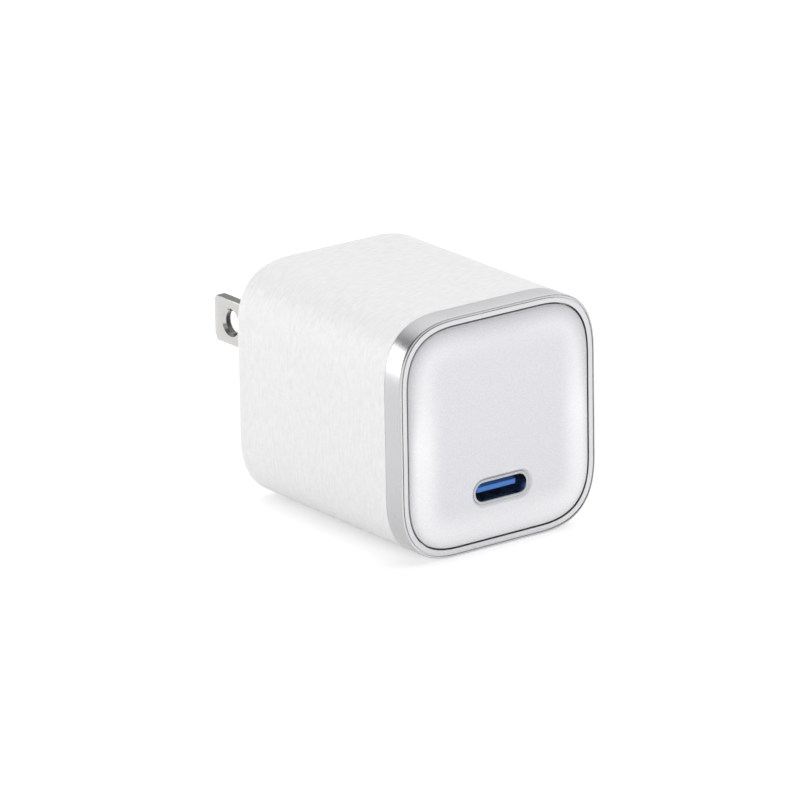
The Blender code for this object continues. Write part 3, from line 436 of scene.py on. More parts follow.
def relief(tree, main, height, distance):
    """Bump of this height, whose full range stands for distance."""
    made = node(tree, "Bump", {"Height": height, "Distance": distance})
    tree.links.new(made.outputs["Normal"], main.inputs["Normal"])


def toned(colour, by):
    """The colour made paler or darker by this share of itself."""
    return tuple(min(max(c * (1 + by), 0.0), 1.0) for c in colour)


def tint(tree, main, share, colour, tone):
    """Base colour that varies by tone each way, as share goes from 0 to 1."""
    shade = mixed(tree, share, toned(colour, -tone), toned(colour, tone))
    tree.links.new(shade, main.inputs["Base Color"])
    return shade


def moulded(name, colour, roughness, tone=0.03, clouds=90, grain=6000, depth=0.01, **more):
    """Plastic, ceramic or rubber: faint clouds of tone, and a fine grain of this depth in mm."""
    made, tree, main = shader(name, roughness, **more)
    place = place_of(tree)
    tint(tree, main, spread(tree, noise(tree, place, clouds, 4), 0, 1), colour, tone)
    fine = noise(tree, place, grain, 2)
    rough = spread(tree, fine, roughness * 0.88, min(roughness * 1.12, 1))
    tree.links.new(rough, main.inputs["Roughness"])
    relief(tree, main, fine, depth * MM)
    return made


def metal(name, colour, roughness, lines, depth=0.002, tone=0.05, uv=None):
    """Plated or rolled metal: fine lines, as noise with this stretch per metre, and smudges."""
    made, tree, main = shader(name, roughness, 1.0)
    streak = noise(tree, place_of(tree, lines, uv), 1, 3)
    smudge = noise(tree, place_of(tree), 150, 4)
    both = math_of(tree, "ADD", math_of(tree, "MULTIPLY", streak, 0.6), smudge)
    share = spread(tree, both, 0, 1, *METAL_RANGE)
    tint(tree, main, share, toned(colour, -tone / 2), tone / 2)
    rough = spread(tree, both, roughness * 0.85, roughness * 1.2, *METAL_RANGE)
    tree.links.new(rough, main.inputs["Roughness"])
    relief(tree, main, streak, depth * MM)
    return made


def bezel_look(name):
    """Satin silver, brushed lengthwise round the ring, with a brighter polished front."""
    made = metal(name, BEZEL_SATIN, 0.28, (90, 9000, 1), 0.0004, 0.02, "surface")
    tree = made.node_tree
    main = tree.nodes["Principled BSDF"]
    facing = node(tree, "SeparateXYZ", {"Vector": node(tree, "TexCoord").outputs["Normal"]})
    front = spread(tree, facing.outputs["Y"], 1, 0, -0.95, -0.8)
    band = main.inputs["Base Color"].links[0].from_socket
    tree.links.new(mixed(tree, front, band, BEZEL_FRONT), main.inputs["Base Color"])
    return made


def blade_look(name):
    """Nickel on stamped brass: bright broad faces, and a painted dark reflection on the narrow
    faces all round.
    """
    made = metal(name, BLADE_NICKEL, 0.14, (4000, 120, 4000), 0.001, 0.03)
    tree = made.node_tree
    main = tree.nodes["Principled BSDF"]
    facing = node(tree, "SeparateXYZ", {"Vector": node(tree, "TexCoord").outputs["Normal"]})
    sideways = math_of(tree, "ABSOLUTE", facing.outputs["X"])
    # painted reflection: the faces that don't face sideways are darkened
    painted_reflection = spread(tree, sideways, 1, 0, 0.15, 0.4)
    face = main.inputs["Base Color"].links[0].from_socket
    tree.links.new(mixed(tree, painted_reflection, face, BLADE_PAINTED_REFLECTION), main.inputs["Base Color"])
    return made


def housing_look(name):
    """Matt white with a linen texture: short threads round the body, and fainter ones along it."""
    made, tree, main = shader(name, 0.5)
    around = noise(tree, place_of(tree, THREADS_ROUND, "surface"), 1, 2)
    along = noise(tree, place_of(tree, THREADS_ALONG, "surface"), 1, 2)
    cloth = math_of(
        tree,
        "ADD",
        math_of(tree, "MULTIPLY", around, 0.7),
        math_of(tree, "MULTIPLY", along, 0.3),
    )
    tint(tree, main, spread(tree, cloth, 0, 1, *CLOTH_RANGE), HOUSING_WHITE, 0.04)
    tree.links.new(spread(tree, cloth, 0.6, 0.44, *CLOTH_RANGE), main.inputs["Roughness"])
    relief(tree, main, cloth, CLOTH_DEPTH)
    return made


def cover_look(name):
    """Glossy pearl: a clear coat over fine mica, with painted light as a paler zone near the edge,
    and painted shade as a grey border.
    """
    made, tree, main = shader(name, 0.28)
    main.inputs["Coat Weight"].default_value = 0.6
    main.inputs["Coat Roughness"].default_value = 0.12
    place = place_of(tree)
    mica = node(tree, "TexVoronoi", {"Vector": place, "Scale": 9000}).outputs["Color"]
    grey = node(tree, "SeparateColor", {"Color": mica}).outputs["Red"]
    drift = noise(tree, place, 60, 3)
    share = math_of(tree, "ADD", math_of(tree, "MULTIPLY", grey, 0.5), drift)
    pearl = tint(tree, main, spread(tree, share, 0, 1, 0.4, 1.1), COVER_PEARL, 0.012)
    # painted light: a paler zone near the cover's edge, weaker at its top and bottom
    glow = node(tree, "Attribute", attribute_name="glow").outputs["Fac"]
    # painted shade: a grey border along the cover's edge, and on its mouth's bevel
    border = node(tree, "Attribute", attribute_name="border").outputs["Fac"]
    shade = mixed(tree, border, mixed(tree, glow, pearl, COVER_PAINTED_LIGHT), COVER_PAINTED_SHADE)
    tree.links.new(shade, main.inputs["Base Color"])
    tree.links.new(spread(tree, grey, 0.22, 0.34, 0, 1), main.inputs["Roughness"])
    relief(tree, main, noise(tree, place, 700, 2), 0.0015 * MM)
    return made


def board_look(name):
    """Green solder mask over copper tracks, with tinned pads."""
    made, tree, main = shader(name, 0.35)
    place = place_of(tree)
    cells = node(
        tree,
        "TexVoronoi",
        {"Vector": place, "Scale": 420, "Randomness": 0.8},
        distance="CHEBYCHEV",
        feature="F1",
    )
    track = spread(tree, cells.outputs["Distance"], 1, 0, 0.42, 0.5)
    pad = spread(tree, cells.outputs["Distance"], 1, 0, 0.1, 0.12)
    mask = mixed(tree, track, (0.012, 0.12, 0.05), (0.02, 0.2, 0.08))
    tree.links.new(mixed(tree, pad, mask, (0.7, 0.68, 0.6)), main.inputs["Base Color"])
    tree.links.new(pad, main.inputs["Metallic"])
    relief(tree, main, track, 0.03 * MM)
    return made


def can_look(name):
    """A dark shrink sleeve with a pale polarity stripe along its top."""
    made, tree, main = shader(name, 0.3)
    place = place_of(tree)
    height = node(tree, "SeparateXYZ", {"Vector": place}).outputs["Z"]
    stripe = spread(tree, height, 0, 1, STRIPE_Z, STRIPE_Z + 0.05 * MM)
    cloud = spread(tree, noise(tree, place, 200, 3), 0, 1)
    dark = mixed(tree, cloud, (0.012, 0.02, 0.05), (0.02, 0.032, 0.075))
    tree.links.new(mixed(tree, stripe, dark, (0.5, 0.53, 0.58)), main.inputs["Base Color"])
    relief(tree, main, noise(tree, place, 900, 2), 0.01 * MM)
    return made


def tape_look(name):
    """Polyester tape in overlapping turns, with the wire's ridges showing through."""
    made, tree, main = shader(name, 0.35)
    main.inputs["Coat Weight"].default_value = 0.3
    place = place_of(tree)
    turns = node(
        tree,
        "TexWave",
        {"Vector": place, "Scale": 380, "Distortion": 0.6, "Detail": 1.0},
        bands_direction="Z",
    ).outputs["Fac"]
    tint(tree, main, turns, (0.8, 0.56, 0.05), 0.06)
    relief(tree, main, turns, 0.04 * MM)
    return made


HOUSING_WHITE = (0.91, 0.91, 0.91)
THREADS_ROUND = (650, 2400, 1)  # stretch per metre of the threads round the body
THREADS_ALONG = (2600, 800, 1)
CLOTH_RANGE = (0.35, 0.65)  # what most of the two noises together lies between
CLOTH_DEPTH = 0.15 * MM
METAL_RANGE = (0.55, 1.05)  # what most of a metal's lines and smudges together lies between
BEZEL_SATIN = (0.52, 0.52, 0.53)
BEZEL_FRONT = (0.66, 0.66, 0.67)
BLADE_NICKEL = (0.55, 0.545, 0.53)
# painted dark reflection on the blades' narrow faces
BLADE_PAINTED_REFLECTION = (0.09, 0.09, 0.09)
COVER_PEARL = (0.66, 0.66, 0.695)
# painted light: the paler colour near the cover's edge
COVER_PAINTED_LIGHT = (0.85, 0.85, 0.865)
# painted shade: the grey of the cover's border and of its mouth's bevel
COVER_PAINTED_SHADE = (0.4, 0.4, 0.42)
STRIPE_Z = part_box("bulk_capacitor_front")[1].z - 0.35 * MM

FINISHES = {
    "housing_white": (housing_look, {}),
    "cover_pearl": (cover_look, {}),
    "bezel_silver": (bezel_look, {}),
    "blade_nickel": (blade_look, {}),
    "inner_white": (
        moulded,
        dict(colour=(0.84, 0.84, 0.835), roughness=0.5, tone=0.02, grain=5000, depth=0.015),
    ),
    "usb_steel": (
        metal,
        dict(colour=(0.5, 0.51, 0.53), roughness=0.26, lines=(5000, 200, 5000), depth=0.001),
    ),
    "usb_blue": (
        moulded,
        dict(colour=(0.06, 0.19, 0.56), roughness=0.38, grain=9000, depth=0.004),
    ),
    "spring_bronze": (
        metal,
        dict(colour=(0.83, 0.6, 0.28), roughness=0.25, lines=(600, 6000, 600)),
    ),
    "spring_steel": (
        metal,
        dict(colour=(0.6, 0.61, 0.62), roughness=0.28, lines=(5000, 5000, 150)),
    ),
    "board_green": (board_look, {}),
    "ferrite": (
        moulded,
        dict(colour=(0.055, 0.055, 0.06), roughness=0.6, tone=0.25, clouds=1500, depth=0.03),
    ),
    "bobbin_black": (moulded, dict(colour=(0.02, 0.02, 0.021), roughness=0.45, tone=0.12)),
    "tape_yellow": (tape_look, {}),
    "copper_wire": (
        metal,
        dict(colour=(0.75, 0.3, 0.11), roughness=0.22, lines=(900, 900, 900), tone=0.12),
    ),
    "can_sleeve": (can_look, {}),
    "can_aluminium": (
        metal,
        dict(colour=(0.8, 0.8, 0.8), roughness=0.3, lines=(5000, 5000, 200), tone=0.08),
    ),
    "film_grey": (moulded, dict(colour=(0.36, 0.37, 0.38), roughness=0.45, tone=0.05)),
    "ceramic_blue": (
        moulded,
        dict(colour=(0.03, 0.16, 0.5), roughness=0.35, tone=0.1, clouds=500, Coat_Weight=0.4),
    ),
    "ceramic_green": (
        moulded,
        dict(colour=(0.03, 0.22, 0.09), roughness=0.4, tone=0.1, clouds=500, Coat_Weight=0.3),
    ),
    "fuse_brown": (moulded, dict(colour=(0.16, 0.075, 0.035), roughness=0.4, tone=0.08)),
    "chip_black": (
        moulded,
        dict(colour=(0.022, 0.022, 0.024), roughness=0.5, tone=0.15, clouds=1200),
    ),
    "pad_grey": (
        moulded,
        dict(colour=(0.42, 0.44, 0.5), roughness=0.8, tone=0.08, grain=2500, depth=0.06),
    ),
    "film_amber": (
        moulded,
        dict(colour=(0.6, 0.33, 0.06), roughness=0.2, tone=0.08, clouds=250, Coat_Weight=0.5),
    ),
    "spreader_metal": (
        metal,
        dict(colour=(0.8, 0.8, 0.81), roughness=0.35, lines=(4000, 100, 4000), tone=0.08),
    ),
    "lead_red": (moulded, dict(colour=(0.45, 0.02, 0.02), roughness=0.4, tone=0.08)),
    "lead_black": (moulded, dict(colour=(0.02, 0.02, 0.02), roughness=0.4, tone=0.12)),
}
LOOKS = {}


def look(slot):
    """The finish of a material slot, made once."""
    if slot not in LOOKS:
        make, values = FINISHES[slot]
        LOOKS[slot] = make(slot, **values)
    return LOOKS[slot]


def dress(piece, body, slot, *nodes):
    """Gives a piece its finish and its body, and hides the CAD nodes that it stands for."""
    piece.data.materials.clear()
    piece.data.materials.append(look(slot))
    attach(piece, body)
    if nodes:
        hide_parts(*nodes)
    return piece


# ---------------------------------------------------------------- housing

JOINT_LINE = 0.05 * MM  # the hairline between the bezel and the housing
BEZEL_EDGE = 0.26 * MM  # radius of the bezel's outer edge
GROOVE_NEAR, GROOVE_FAR = 0.29 * MM, 0.46 * MM  # the groove's sides, from the outer edge
GROOVE_DEPTH = 0.16 * MM
GROOVE_SLOPE = 0.03 * MM


def housing_shell():
    """The textured shell: four sides, a rounded rear edge and the lip that stops the cap."""
    front = RIM_Y + BAND + JOINT_LINE
    profile = rounded(
        [
            (0.0, front, 0.06 * MM),
            (0.0, REAR_Y, REAR_ROUND - 0.05 * MM),  # a hair less, so that no points coincide
            (REAR_ROUND, REAR_Y, 0.0),
            (REAR_ROUND, REAR_Y - CAP_LIP, 0.0),
            (WALL, REAR_Y - CAP_LIP, 0.0),
            (WALL, front, 0.0),
        ],
        steps=12,
    )
    return tube("housing_shell", section, profile)


def bezel():
    """The satin ring: side band, rounded outer edge, a fine groove, a crowned strip, the skirt."""
    floor_y = RIM_Y + GROOVE_DEPTH
    profile = rounded(
        [
            (0.0, RIM_Y + BAND, 0.05 * MM),
            (0.0, RIM_Y, BEZEL_EDGE),
            (GROOVE_NEAR, RIM_Y, 0.03 * MM),
            (GROOVE_NEAR + GROOVE_SLOPE, floor_y, 0.0),
            (GROOVE_FAR - GROOVE_SLOPE, floor_y, 0.0),
            (GROOVE_FAR, RIM_Y + 0.02 * MM, 0.03 * MM),
            ((2 * GROOVE_FAR + RIM) / 3, RIM_Y, 0.3 * MM),
            ((GROOVE_FAR + 2 * RIM) / 3, RIM_Y, 0.3 * MM),
            (RIM, RIM_Y + 0.03 * MM, 0.06 * MM),
            (RIM, RIM_Y + SEAT_DEPTH, 0.0),
            (SKIRT_INSET + SKIRT_WALL, RIM_Y + SEAT_DEPTH, 0.0),
            (SKIRT_INSET + SKIRT_WALL, RIM_Y + SKIRT_DEPTH, 0.0),
            (SKIRT_INSET, RIM_Y + SKIRT_DEPTH, 0.0),
            (SKIRT_INSET, RIM_Y + BAND, 0.0),
        ],
        steps=6,
    )
    return tube("bezel", section, profile)


COVER_INSET = RIM + 0.2 * MM
PAINTED_SHADE_WIDTH = (1.3 * MM, 3.2 * MM)  # width of the cover's painted shade border at its sides and at its top
PAINTED_LIGHT_FADE = (2.1 * MM, 5.6 * MM)  # distances from the edge between which the cover's painted light, a paler zone, fades
COVER_BACK_Y = RIM_Y + 1.6 * MM
PORT_WIDTH, PORT_HEIGHT = 9.85 * MM, 4.05 * MM  # the port's mouth in the cover
PORT_BEVEL = 0.3 * MM
LIP_Y = SHELL_Y - 0.18 * MM  # front of the steel shell's lip
MOUTH_EDGE = 0.07 * MM  # how far the cover starts to turn in before its mouth
COVER_RINGS = 45
RING_PACKING = 2.4  # above 1, the rings lie closer towards the cover's edge
PORT_SHADE_Z = PORT_Z + 1.5 * MM  # above this, the mouth's bevel carries more painted shade


def reach_of(outline, centre_z, angles):
    """Distance from (0, centre_z) to the outline, in these directions."""
    dense = []
    for (a, b), (c, d) in zip(outline, outline[1:] + outline[:1]):
        dense += [(a + (c - a) * t / 12, b + (d - b) * t / 12) for t in range(12)]
    dense = np.array(dense) - (0, centre_z)
    turn = np.arctan2(dense[:, 1], dense[:, 0])
    order = np.argsort(turn)
    return np.interp(angles, turn[order], np.hypot(*dense.T)[order], period=2 * np.pi)


def crown_y(x, z):
    """The cover's front surface: flat in the middle, and steep at its edge."""
    outline = section(COVER_INSET)
    edge = reach_of(outline, MIDDLE_Z, np.arctan2(z - MIDDLE_Z, x))
    share = np.clip(np.hypot(x, z - MIDDLE_Z) / edge, 0, 1)
    climb = np.clip((share - CROWN_FLAT) / (1 - CROWN_FLAT), 0, 1) ** CROWN_POWER
    return RIM_Y + EDGE_DROP - (EDGE_DROP + CROWN) * np.sqrt(1 - climb)


def cover():
    """The glossy pillow-shaped cover, one skin from its edge to the bevelled mouth of the port."""
    outer = np.array(section(COVER_INSET, 10))
    angles = np.arctan2(outer[:, 1] - PORT_Z, outer[:, 0])

    def mouth(grow):
        """The port's mouth grown by this much, with a point for each of the edge's."""
        ring = stadium(PORT_WIDTH + 2 * grow, PORT_HEIGHT + 2 * grow, 40)
        reach = reach_of(ring, PORT_Z, angles)
        return np.stack([reach * np.cos(angles), PORT_Z + reach * np.sin(angles)], 1)

    inner = mouth(MOUTH_EDGE)
    rings = [(outer, np.full(len(outer), COVER_BACK_Y))]
    rings.append((outer, np.full(len(outer), RIM_Y + EDGE_DROP)))
    for step in range(1, COVER_RINGS + 1):
        t = (step / COVER_RINGS) ** RING_PACKING
        place = outer + (inner - outer) * t
        rings.append((place, crown_y(place[:, 0], place[:, 1])))
    lip = crown_y(inner[:, 0], inner[:, 1])
    for grow, down in ((0.02, 0.01), (-0.02, 0.04)):
        rings.append((mouth(grow * MM), lip + down * MM))
    for y in (LIP_Y + 0.04 * MM, COVER_BACK_Y):
        rings.append((mouth(-PORT_BEVEL), np.full(len(outer), y)))
    points = [(x, y, z) for place, ys in rings for (x, z), y in zip(place, ys)]
    made = mesh_piece("cover", points, ring_faces(len(rings), len(outer), True))
    shade_cover(made.data, outer, np.concatenate([place for place, _ in rings]), len(outer))
    return made


def shade_cover(mesh, outline, places, sides):
    """Stores how far each point lies in the cover's painted light, a paler zone near its edge, and
    in its painted shade, a grey border.
    """
    gap = np.full(len(places), np.inf)
    for step in np.linspace(0, 1, 6, endpoint=False):
        dense = outline + (np.roll(outline, -1, axis=0) - outline) * step
        gap = np.minimum(gap, np.hypot(*(places[:, None] - dense).transpose(2, 0, 1)).min(axis=1))
    out = places - (0, MIDDLE_Z)
    aside, climb = (out / np.hypot(*out.T)[:, None]).T
    up, down = np.clip(climb, 0, 1), np.clip(-climb, 0, 1)
    # painted light near the edge, less at the top and bottom where light falls differently
    near = np.interp(gap, PAINTED_LIGHT_FADE, (1, 0))
    glow = (1 - 0.8 * up - 0.4 * down) * near**2 * (3 - 2 * near)
    # painted shade: a grey border near the edge, widest and darkest at the top, darker at the sides
    width = PAINTED_SHADE_WIDTH[0] + (PAINTED_SHADE_WIDTH[1] - PAINTED_SHADE_WIDTH[0]) * up
    border = (0.35 + 0.45 * up + 0.4 * aside**2) * np.clip(1 - gap / width, 0, 1) ** 1.5
    mouth = slice(-3 * sides, None)  # the last three rings
    # painted shade on the mouth's bevel: some all round, more on its upper part
    border[mouth] = 0.25 + 0.5 * (places[mouth, 1] > PORT_SHADE_Z)
    for name, values in (("glow", glow), ("border", border)):
        layer = mesh.attributes.new(name, "FLOAT", "POINT")
        layer.data.foreach_set("value", values)


def opening(grow):
    """The rear cap's opening, as (x, z): a window for the rotor over a slot for each blade."""
    half = BARREL_HALF + CAP_ROOM + grow
    top = PIVOT_Z + BARREL_RADIUS + CAP_ROOM + grow
    step = PIVOT_Z - BARREL_RADIUS - CAP_ROOM - grow
    out_x, in_x = BLADE_X + SLOT_HALF + grow, BLADE_X - SLOT_HALF - grow
    floor = SLOT_FLOOR - grow
    small, inward = 0.25 * MM + grow, max(0.3 * MM - grow, 0.05 * MM)
    right = [
        (half, top, small),
        (half, step, small),
        (out_x, step, inward),
        (out_x, floor, small),
        (in_x, floor, small),
        (in_x, step, inward),
    ]
    left = [(-x, z, r) for x, z, r in reversed(right)]
    return rounded(right + left, steps=5)


def rear_cap_plate():
    """The rear face: a plate with the rotor's window and the blades' slots, and its flange."""
    bevel = 0.25 * MM
    inner_y = REAR_Y - CAP_PLATE
    flange_rear = REAR_Y - CAP_LIP - CAP_ROOM
    flange_inset = WALL + CAP_ROOM
    flange_front = flange_rear - CAP_FLANGE
    edge = CAP_INSET - 0.18 * MM
    outer_path = rounded(
        [
            (edge + 2 * bevel, REAR_Y, 0.0),
            (edge, REAR_Y, bevel),
            (edge, flange_rear, 0.0),
            (flange_inset, flange_rear, 0.0),
            (flange_inset, flange_front, 0.0),
            (flange_inset + CAP_SKIRT, flange_front, 0.0),
            (flange_inset + CAP_SKIRT, inner_y, 0.0),
        ],
        closed=False,
    )
    inner_path = rounded(
        [(2 * bevel, REAR_Y, 0.0), (0.0, REAR_Y, bevel), (0.0, inner_y, 0.0)], closed=False
    )
    shape = bmesh.new()
    loops = []
    for outline, path in ((section, outer_path), (opening, inner_path)):
        rings = []
        for inset, y in path:
            rings.append([shape.verts.new((x, y, z)) for x, z in outline(inset)])
        for a, b in zip(rings, rings[1:]):
            for k in range(len(a)):
                m = (k + 1) % len(a)
                shape.faces.new((a[k], a[m], b[m], b[k]))
        loops.append((rings[0], rings[-1]))
    for end in (0, 1):
        edges = []
        for pair in loops:
            ring = pair[end]
            for k in range(len(ring)):
                edges.append(shape.edges.get((ring[k], ring[(k + 1) % len(ring)])))
        bmesh.ops.triangle_fill(shape, use_beauty=True, edges=edges)
    bmesh.ops.recalc_face_normals(shape, faces=shape.faces)
    made = from_shape("rear_cap_plate", shape)
    reach = TRUNNION_HALF + CAP_ROOM
    groove = TRUNNION_RADIUS + 0.1 * MM
    saddle = turned("saddle", (0, PIVOT_Y, PIVOT_Z), [(-reach, groove), (reach, groove)])
    return carve(made, "DIFFERENCE", saddle)


# ---------------------------------------------------------------- USB-C receptacle

LEG_DEPTH = 1.0 * MM
LEG_YS = (RIM_Y + 3.3 * MM, SHELL_END_Y - 1.3 * MM)  # front of the legs in each row
CONTACT_PITCH = 0.5 * MM
CONTACTS = 12
LONG_CONTACTS = (0, 3, 8, 11)  # power and ground, which start nearer the tongue's nose
STRIP_HALF = 0.12 * MM


def receptacle_shell():
    """The drawn steel shell, with a lip that fills the port's mouth, and its four legs."""
    flange = PORT_BEVEL + 0.025 * MM - (PORT_WIDTH - SHELL_WIDTH) / 2
    profile = rounded(
        [
            (flange, LIP_Y, 0.05 * MM),
            (flange, SHELL_Y, 0.0),
            (0.0, SHELL_Y, 0.0),
            (0.0, SHELL_END_Y, 0.05 * MM),
            (SHELL_WALL, SHELL_END_Y, 0.0),
            (SHELL_WALL, LIP_Y, 0.14 * MM),
        ],
        steps=5,
    )
    shell = tube(
        "receptacle_shell",
        lambda inset: stadium(SHELL_WIDTH - 2 * inset, SHELL_HEIGHT - 2 * inset, 24),
        profile,
    )
    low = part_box("usb_shell")[0].z
    leg_x = SHELL_WIDTH / 2 - SHELL_WALL / 2
    legs = [
        block(
            f"leg_{sign}_{row}",
            (sign * leg_x - SHELL_WALL / 2, sign * leg_x + SHELL_WALL / 2),
            (y, y + LEG_DEPTH),
            (low, PORT_Z),
            0.04 * MM,
        )
        for row, y in enumerate(LEG_YS)
        for sign in (-1, 1)
    ]
    return carve(shell, "UNION", *legs)


def receptacle_insert():
    """The blue insert: a base that fills the shell's rear, and the tongue with a bevelled nose."""
    base_y = TONGUE_Y + TONGUE_LENGTH
    width, height = SHELL_WIDTH - 2 * SHELL_WALL, SHELL_HEIGHT - 2 * SHELL_WALL
    gap = 0.15 * MM
    base = tube(
        "receptacle_insert",
        lambda inset: stadium(width - 2 * inset, height - 2 * inset),
        [(gap + 0.08 * MM, base_y), (gap, base_y + 0.08 * MM), (gap, SHELL_END_Y)],
        closed=False,
    )

    def plan(inset):
        """The tongue's outline seen from above, drawn in by inset, as (x, y) points."""
        half = TONGUE_WIDTH / 2 - inset
        front, back = TONGUE_Y + inset, base_y + 0.3 * MM
        nose = [(-half, front, 0.4 * MM), (half, front, 0.4 * MM)]
        return rounded(nose + [(half, back, 0), (-half, back, 0)], steps=6)

    bevel = 0.1 * MM
    low, high = PORT_Z - TONGUE_HALF, PORT_Z + TONGUE_HALF
    tongue = tube(
        "tongue",
        plan,
        [
            (bevel, low),
            (0.03 * MM, low + 0.03 * MM),
            (0.0, low + bevel),
            (0.0, high - bevel),
            (0.03 * MM, high - 0.03 * MM),
            (bevel, high),
        ],
        closed=False,
        place=along_z,
    )
    return carve(base, "UNION", tongue)


def receptacle_contacts():
    """The twelve contact strips on each face of the tongue."""
    strips = []
    for side in (-1, 1):
        for k in range(CONTACTS):
            x = (k - (CONTACTS - 1) / 2) * CONTACT_PITCH
            face = PORT_Z + side * TONGUE_HALF
            front = 1.1 * MM if k in LONG_CONTACTS else 1.4 * MM
            strips.append(
                block(
                    "strip",
                    (x - STRIP_HALF, x + STRIP_HALF),
                    (TONGUE_Y + front, TONGUE_Y + TONGUE_LENGTH - 0.05 * MM),
                    (face - side * 0.04 * MM, face + side * 0.03 * MM),
                    0.015 * MM,
                    2,
                )
            )
    return gathered("receptacle_contacts", strips)


# ---------------------------------------------------------------- folding plug


def blade_ring(x, y, thickness, height, edge, steps=4):
    """A rounded rectangle across the blade at y."""
    a, b = thickness / 2, height / 2
    corners = [(-a, -b, edge), (a, -b, edge), (a, b, edge), (-a, b, edge)]
    return [(x + u, y, BLADE_Z + v) for u, v in rounded(corners, steps)]


def blade(side, sign):
    """A nickel blade with eased edges, a tapered tip, a countersunk hole and its tang."""
    x = sign * BLADE_X
    ease = 0.1 * MM
    stops = [
        (PIVOT_Y + 0.25 * MM, NECK_THICKNESS, BLADE_HEIGHT, ease),
        (REAR_Y + 0.3 * MM, NECK_THICKNESS, BLADE_HEIGHT, ease),
        (REAR_Y + 0.6 * MM, BLADE_THICKNESS, BLADE_HEIGHT, ease),
        (TIP_Y - TIP_LENGTH, BLADE_THICKNESS, BLADE_HEIGHT, ease),
        (TIP_Y - 0.07 * MM, TIP_THICKNESS + 0.06 * MM, TIP_HEIGHT + 0.1 * MM, ease),
        (TIP_Y, TIP_THICKNESS - 0.1 * MM, TIP_HEIGHT - 0.08 * MM, ease),
    ]
    points = [p for y, t, h, e in stops for p in blade_ring(x, y, t, h, e)]
    sides = len(points) // len(stops)
    made = mesh_piece(f"plug_blade_{side}", points, ring_faces(len(stops), sides, False))
    half = NECK_THICKNESS / 2 - 0.02 * MM  # a hair thinner, so that no faces are flush
    tang = block(
        "tang",
        (x - half, x + half),
        (PIVOT_Y - TANG_REACH, PIVOT_Y + 0.5 * MM),
        (PIVOT_Z - TANG_BOTTOM, PIVOT_Z - TANG_TOP),
        0.05 * MM,
    )
    carve(made, "UNION", tang)
    face = BLADE_THICKNESS / 2
    hole = turned(
        "hole",
        (x, TIP_Y - HOLE_FROM_TIP, BLADE_Z),
        [
            (-face - SINK, HOLE_RADIUS + 2 * SINK),
            (-face + SINK, HOLE_RADIUS),
            (face - SINK, HOLE_RADIUS),
            (face + SINK, HOLE_RADIUS + 2 * SINK),
        ],
    )
    return carve(made, "DIFFERENCE", hole)


# ---------------------------------------------------------------- pieces on their bodies

dress(housing_shell(), "charger", "housing_white", "housing_sleeve")
dress(bezel(), "charger", "bezel_silver", "bezel_ring")
dress(cover(), "charger", "cover_pearl", "front_cover")
dress(rear_cap_plate(), "charger", "inner_white", "rear_cap")
dress(receptacle_shell(), "charger", "usb_steel", "usb_shell")
dress(receptacle_insert(), "charger", "usb_blue", "usb_tongue")
dress(receptacle_contacts(), "charger", "spring_bronze")
for side, sign in (("left", -1), ("right", 1)):
    dress(blade(side, sign), "plug", "blade_nickel", f"blade_{side}")

for kept in frame["nodes"].values():
    for place in kept.material_slots:
        place.material = look(place.material.name.split(".")[0])

# ---------------------------------------------------------------- stage, lamps and camera

BODY_CENTRE = Vector((0, (RIM_Y + REAR_Y) / 2, MIDDLE_Z))


def seen_share(tree):
    """1 for what the camera, metal or glass sees, and 0 for light that falls on a surface."""
    path = node(tree, "LightPath").outputs
    mirrored = math_of(tree, "MAXIMUM", path["Is Glossy Ray"], path["Is Transmission Ray"])
    return math_of(tree, "MAXIMUM", path["Is Camera Ray"], mirrored)


def floor():
    """A plain white floor, lifted to the background's white for the camera and for metal."""
    mesh = bpy.data.meshes.new("floor")
    corners = [(FLOOR_HALF * x, FLOOR_HALF * y, 0) for x, y in ((-1, -1), (1, -1), (1, 1), (-1, 1))]
    mesh.from_pydata(corners, [], [(0, 1, 2, 3)])
    made = linked("floor", mesh)
    paper = bpy.data.materials.new("look_floor")
    paper.use_nodes = True
    tree = paper.node_tree
    main = tree.nodes["Principled BSDF"]
    main.inputs["Base Color"].default_value = (0.82, 0.82, 0.82, 1)
    main.inputs["Roughness"].default_value = 0.9
    main.inputs["Specular IOR Level"].default_value = 0.0
    main.inputs["Emission Color"].default_value = (1, 1, 1, 1)
    lift = math_of(tree, "MULTIPLY", seen_share(tree), FLOOR_LIFT)
    tree.links.new(lift, main.inputs["Emission Strength"])
    mesh.materials.append(paper)


FLOOR_HALF = 4.0
FLOOR_LIFT = 0.42
KEY_FROM = (0.5, 0.25, 0.83)  # the middle of the studio's bright ceiling
KEY_EDGE, KEY_CORE = 0.32, 0.97  # cosines from there, between which it brightens
WORLD_LOW, WORLD_HIGH = 0.15, 1.43  # brightness away from there, and at the core
HORIZON_LOW, HORIZON_HIGH = 0.1, 0.24  # heights between which the white backdrop ends


def graded(tree, value, start, end, low, high):
    """low..high as the value goes from start to end, with a soft start and end."""
    limits = {"From Min": start, "From Max": end, "To Min": low, "To Max": high}
    made = node(tree, "MapRange", {"Value": value, **limits}, interpolation_type="SMOOTHSTEP")
    return made.outputs["Result"]


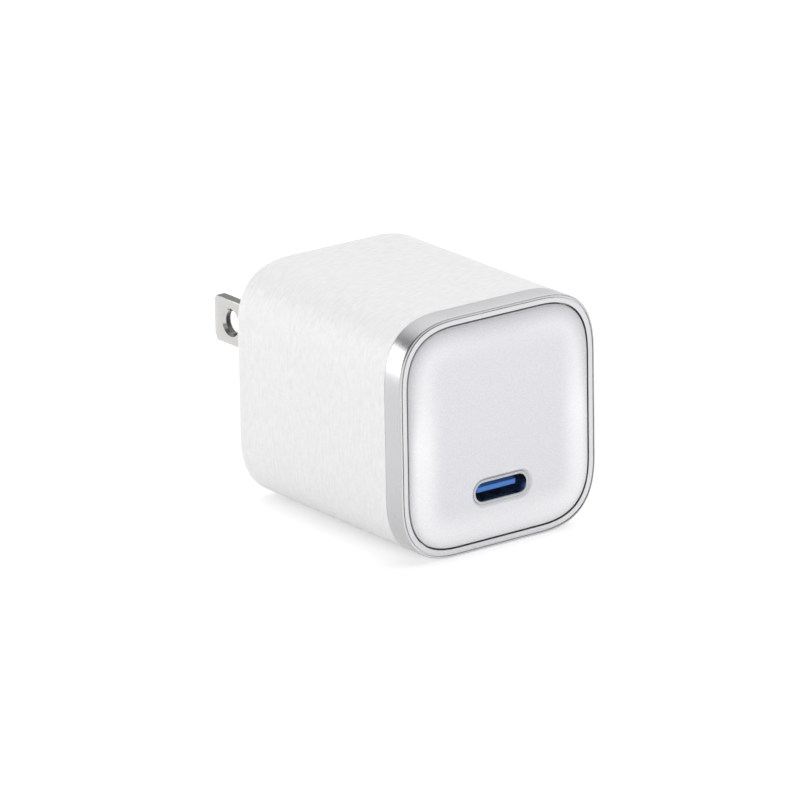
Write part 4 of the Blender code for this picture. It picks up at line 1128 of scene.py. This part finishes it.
def world():
    """A pale studio: a white backdrop all round the horizon under one broad bright ceiling."""
    made = bpy.data.worlds.new("studio")
    made.use_nodes = True
    bpy.context.scene.world = made
    tree = made.node_tree
    tree.nodes.clear()
    direction = node(tree, "TexCoord").outputs["Generated"]
    towards = node(tree, "VectorMath", {0: direction, 1: KEY_FROM}, operation="DOT_PRODUCT")
    ceiling = graded(tree, towards.outputs["Value"], KEY_EDGE, KEY_CORE, WORLD_LOW, WORLD_HIGH)
    height = node(tree, "SeparateXYZ", {"Vector": direction}).outputs["Z"]
    backdrop = graded(tree, height, HORIZON_LOW, HORIZON_HIGH, 1, 0)
    back = node(tree, "Background", {"Color": mixed(tree, backdrop, ceiling, (1, 1, 1))})
    out = tree.nodes.new("ShaderNodeOutputWorld")
    tree.links.new(back.outputs["Background"], out.inputs["Surface"])


def lamp(name, place, size, power, mirrored=True):
    """A square soft lamp at a place from the body's centre, turned towards it."""
    data = bpy.data.lights.new(name, "AREA")
    data.size = size
    data.energy = power
    made = linked(name, data)
    made.location = BODY_CENTRE + Vector(place)
    made.rotation_mode = "QUATERNION"
    made.rotation_quaternion = (-Vector(place)).to_track_quat("-Z", "Y")
    made.visible_glossy = mirrored


LAMPS = (  # name, place, size, power, and whether it shows in gloss
    ("lamp_left", (-0.5, 0.0, 0.1), 0.5, 0.27),
    ("lamp_left_rear", (-0.35, 0.4, 0.06), 0.4, 1.42),
    ("lamp_front", (-0.1, -0.5, 0.09), 0.2, 1.22, False),
)


VIEW = (-36.32, 18.18, -1.0)  # azimuth, elevation and roll, in degrees
SENSOR = 36
LENS = 7074 / 800 * SENSOR  # a focal length of 7074 pixels in a picture 800 wide
DISTANCE = 938.1 * MM
AIM_SHIFT = (-1.752 * MM, -1.086 * MM)  # across and up, from the body's centre


def camera():
    """The photograph's view."""
    azimuth, elevation, roll = map(math.radians, VIEW)
    ca, sa, ce, se = math.cos(azimuth), math.sin(azimuth), math.cos(elevation), math.sin(elevation)
    back = Vector((sa * ce, -ca * ce, se))
    right = Vector((ca, sa, 0))
    up = back.cross(right)
    cr, sr = math.cos(roll), math.sin(roll)
    across = cr * right + sr * up
    upward = -sr * right + cr * up
    data = bpy.data.cameras.new("camera")
    data.sensor_width = SENSOR
    data.lens = LENS
    data.clip_start, data.clip_end = 0.05, 20
    made = linked("camera", data)
    aim = AIM_SHIFT[0] * across + AIM_SHIFT[1] * upward
    turn = Matrix((across, upward, back)).transposed().to_4x4()
    made.matrix_world = Matrix.Translation(BODY_CENTRE + aim + DISTANCE * back) @ turn
    bpy.context.scene.camera = made


floor()
world()
for values in LAMPS:
    lamp(*values)
camera()
bpy.context.scene.view_settings.view_transform = "Standard"
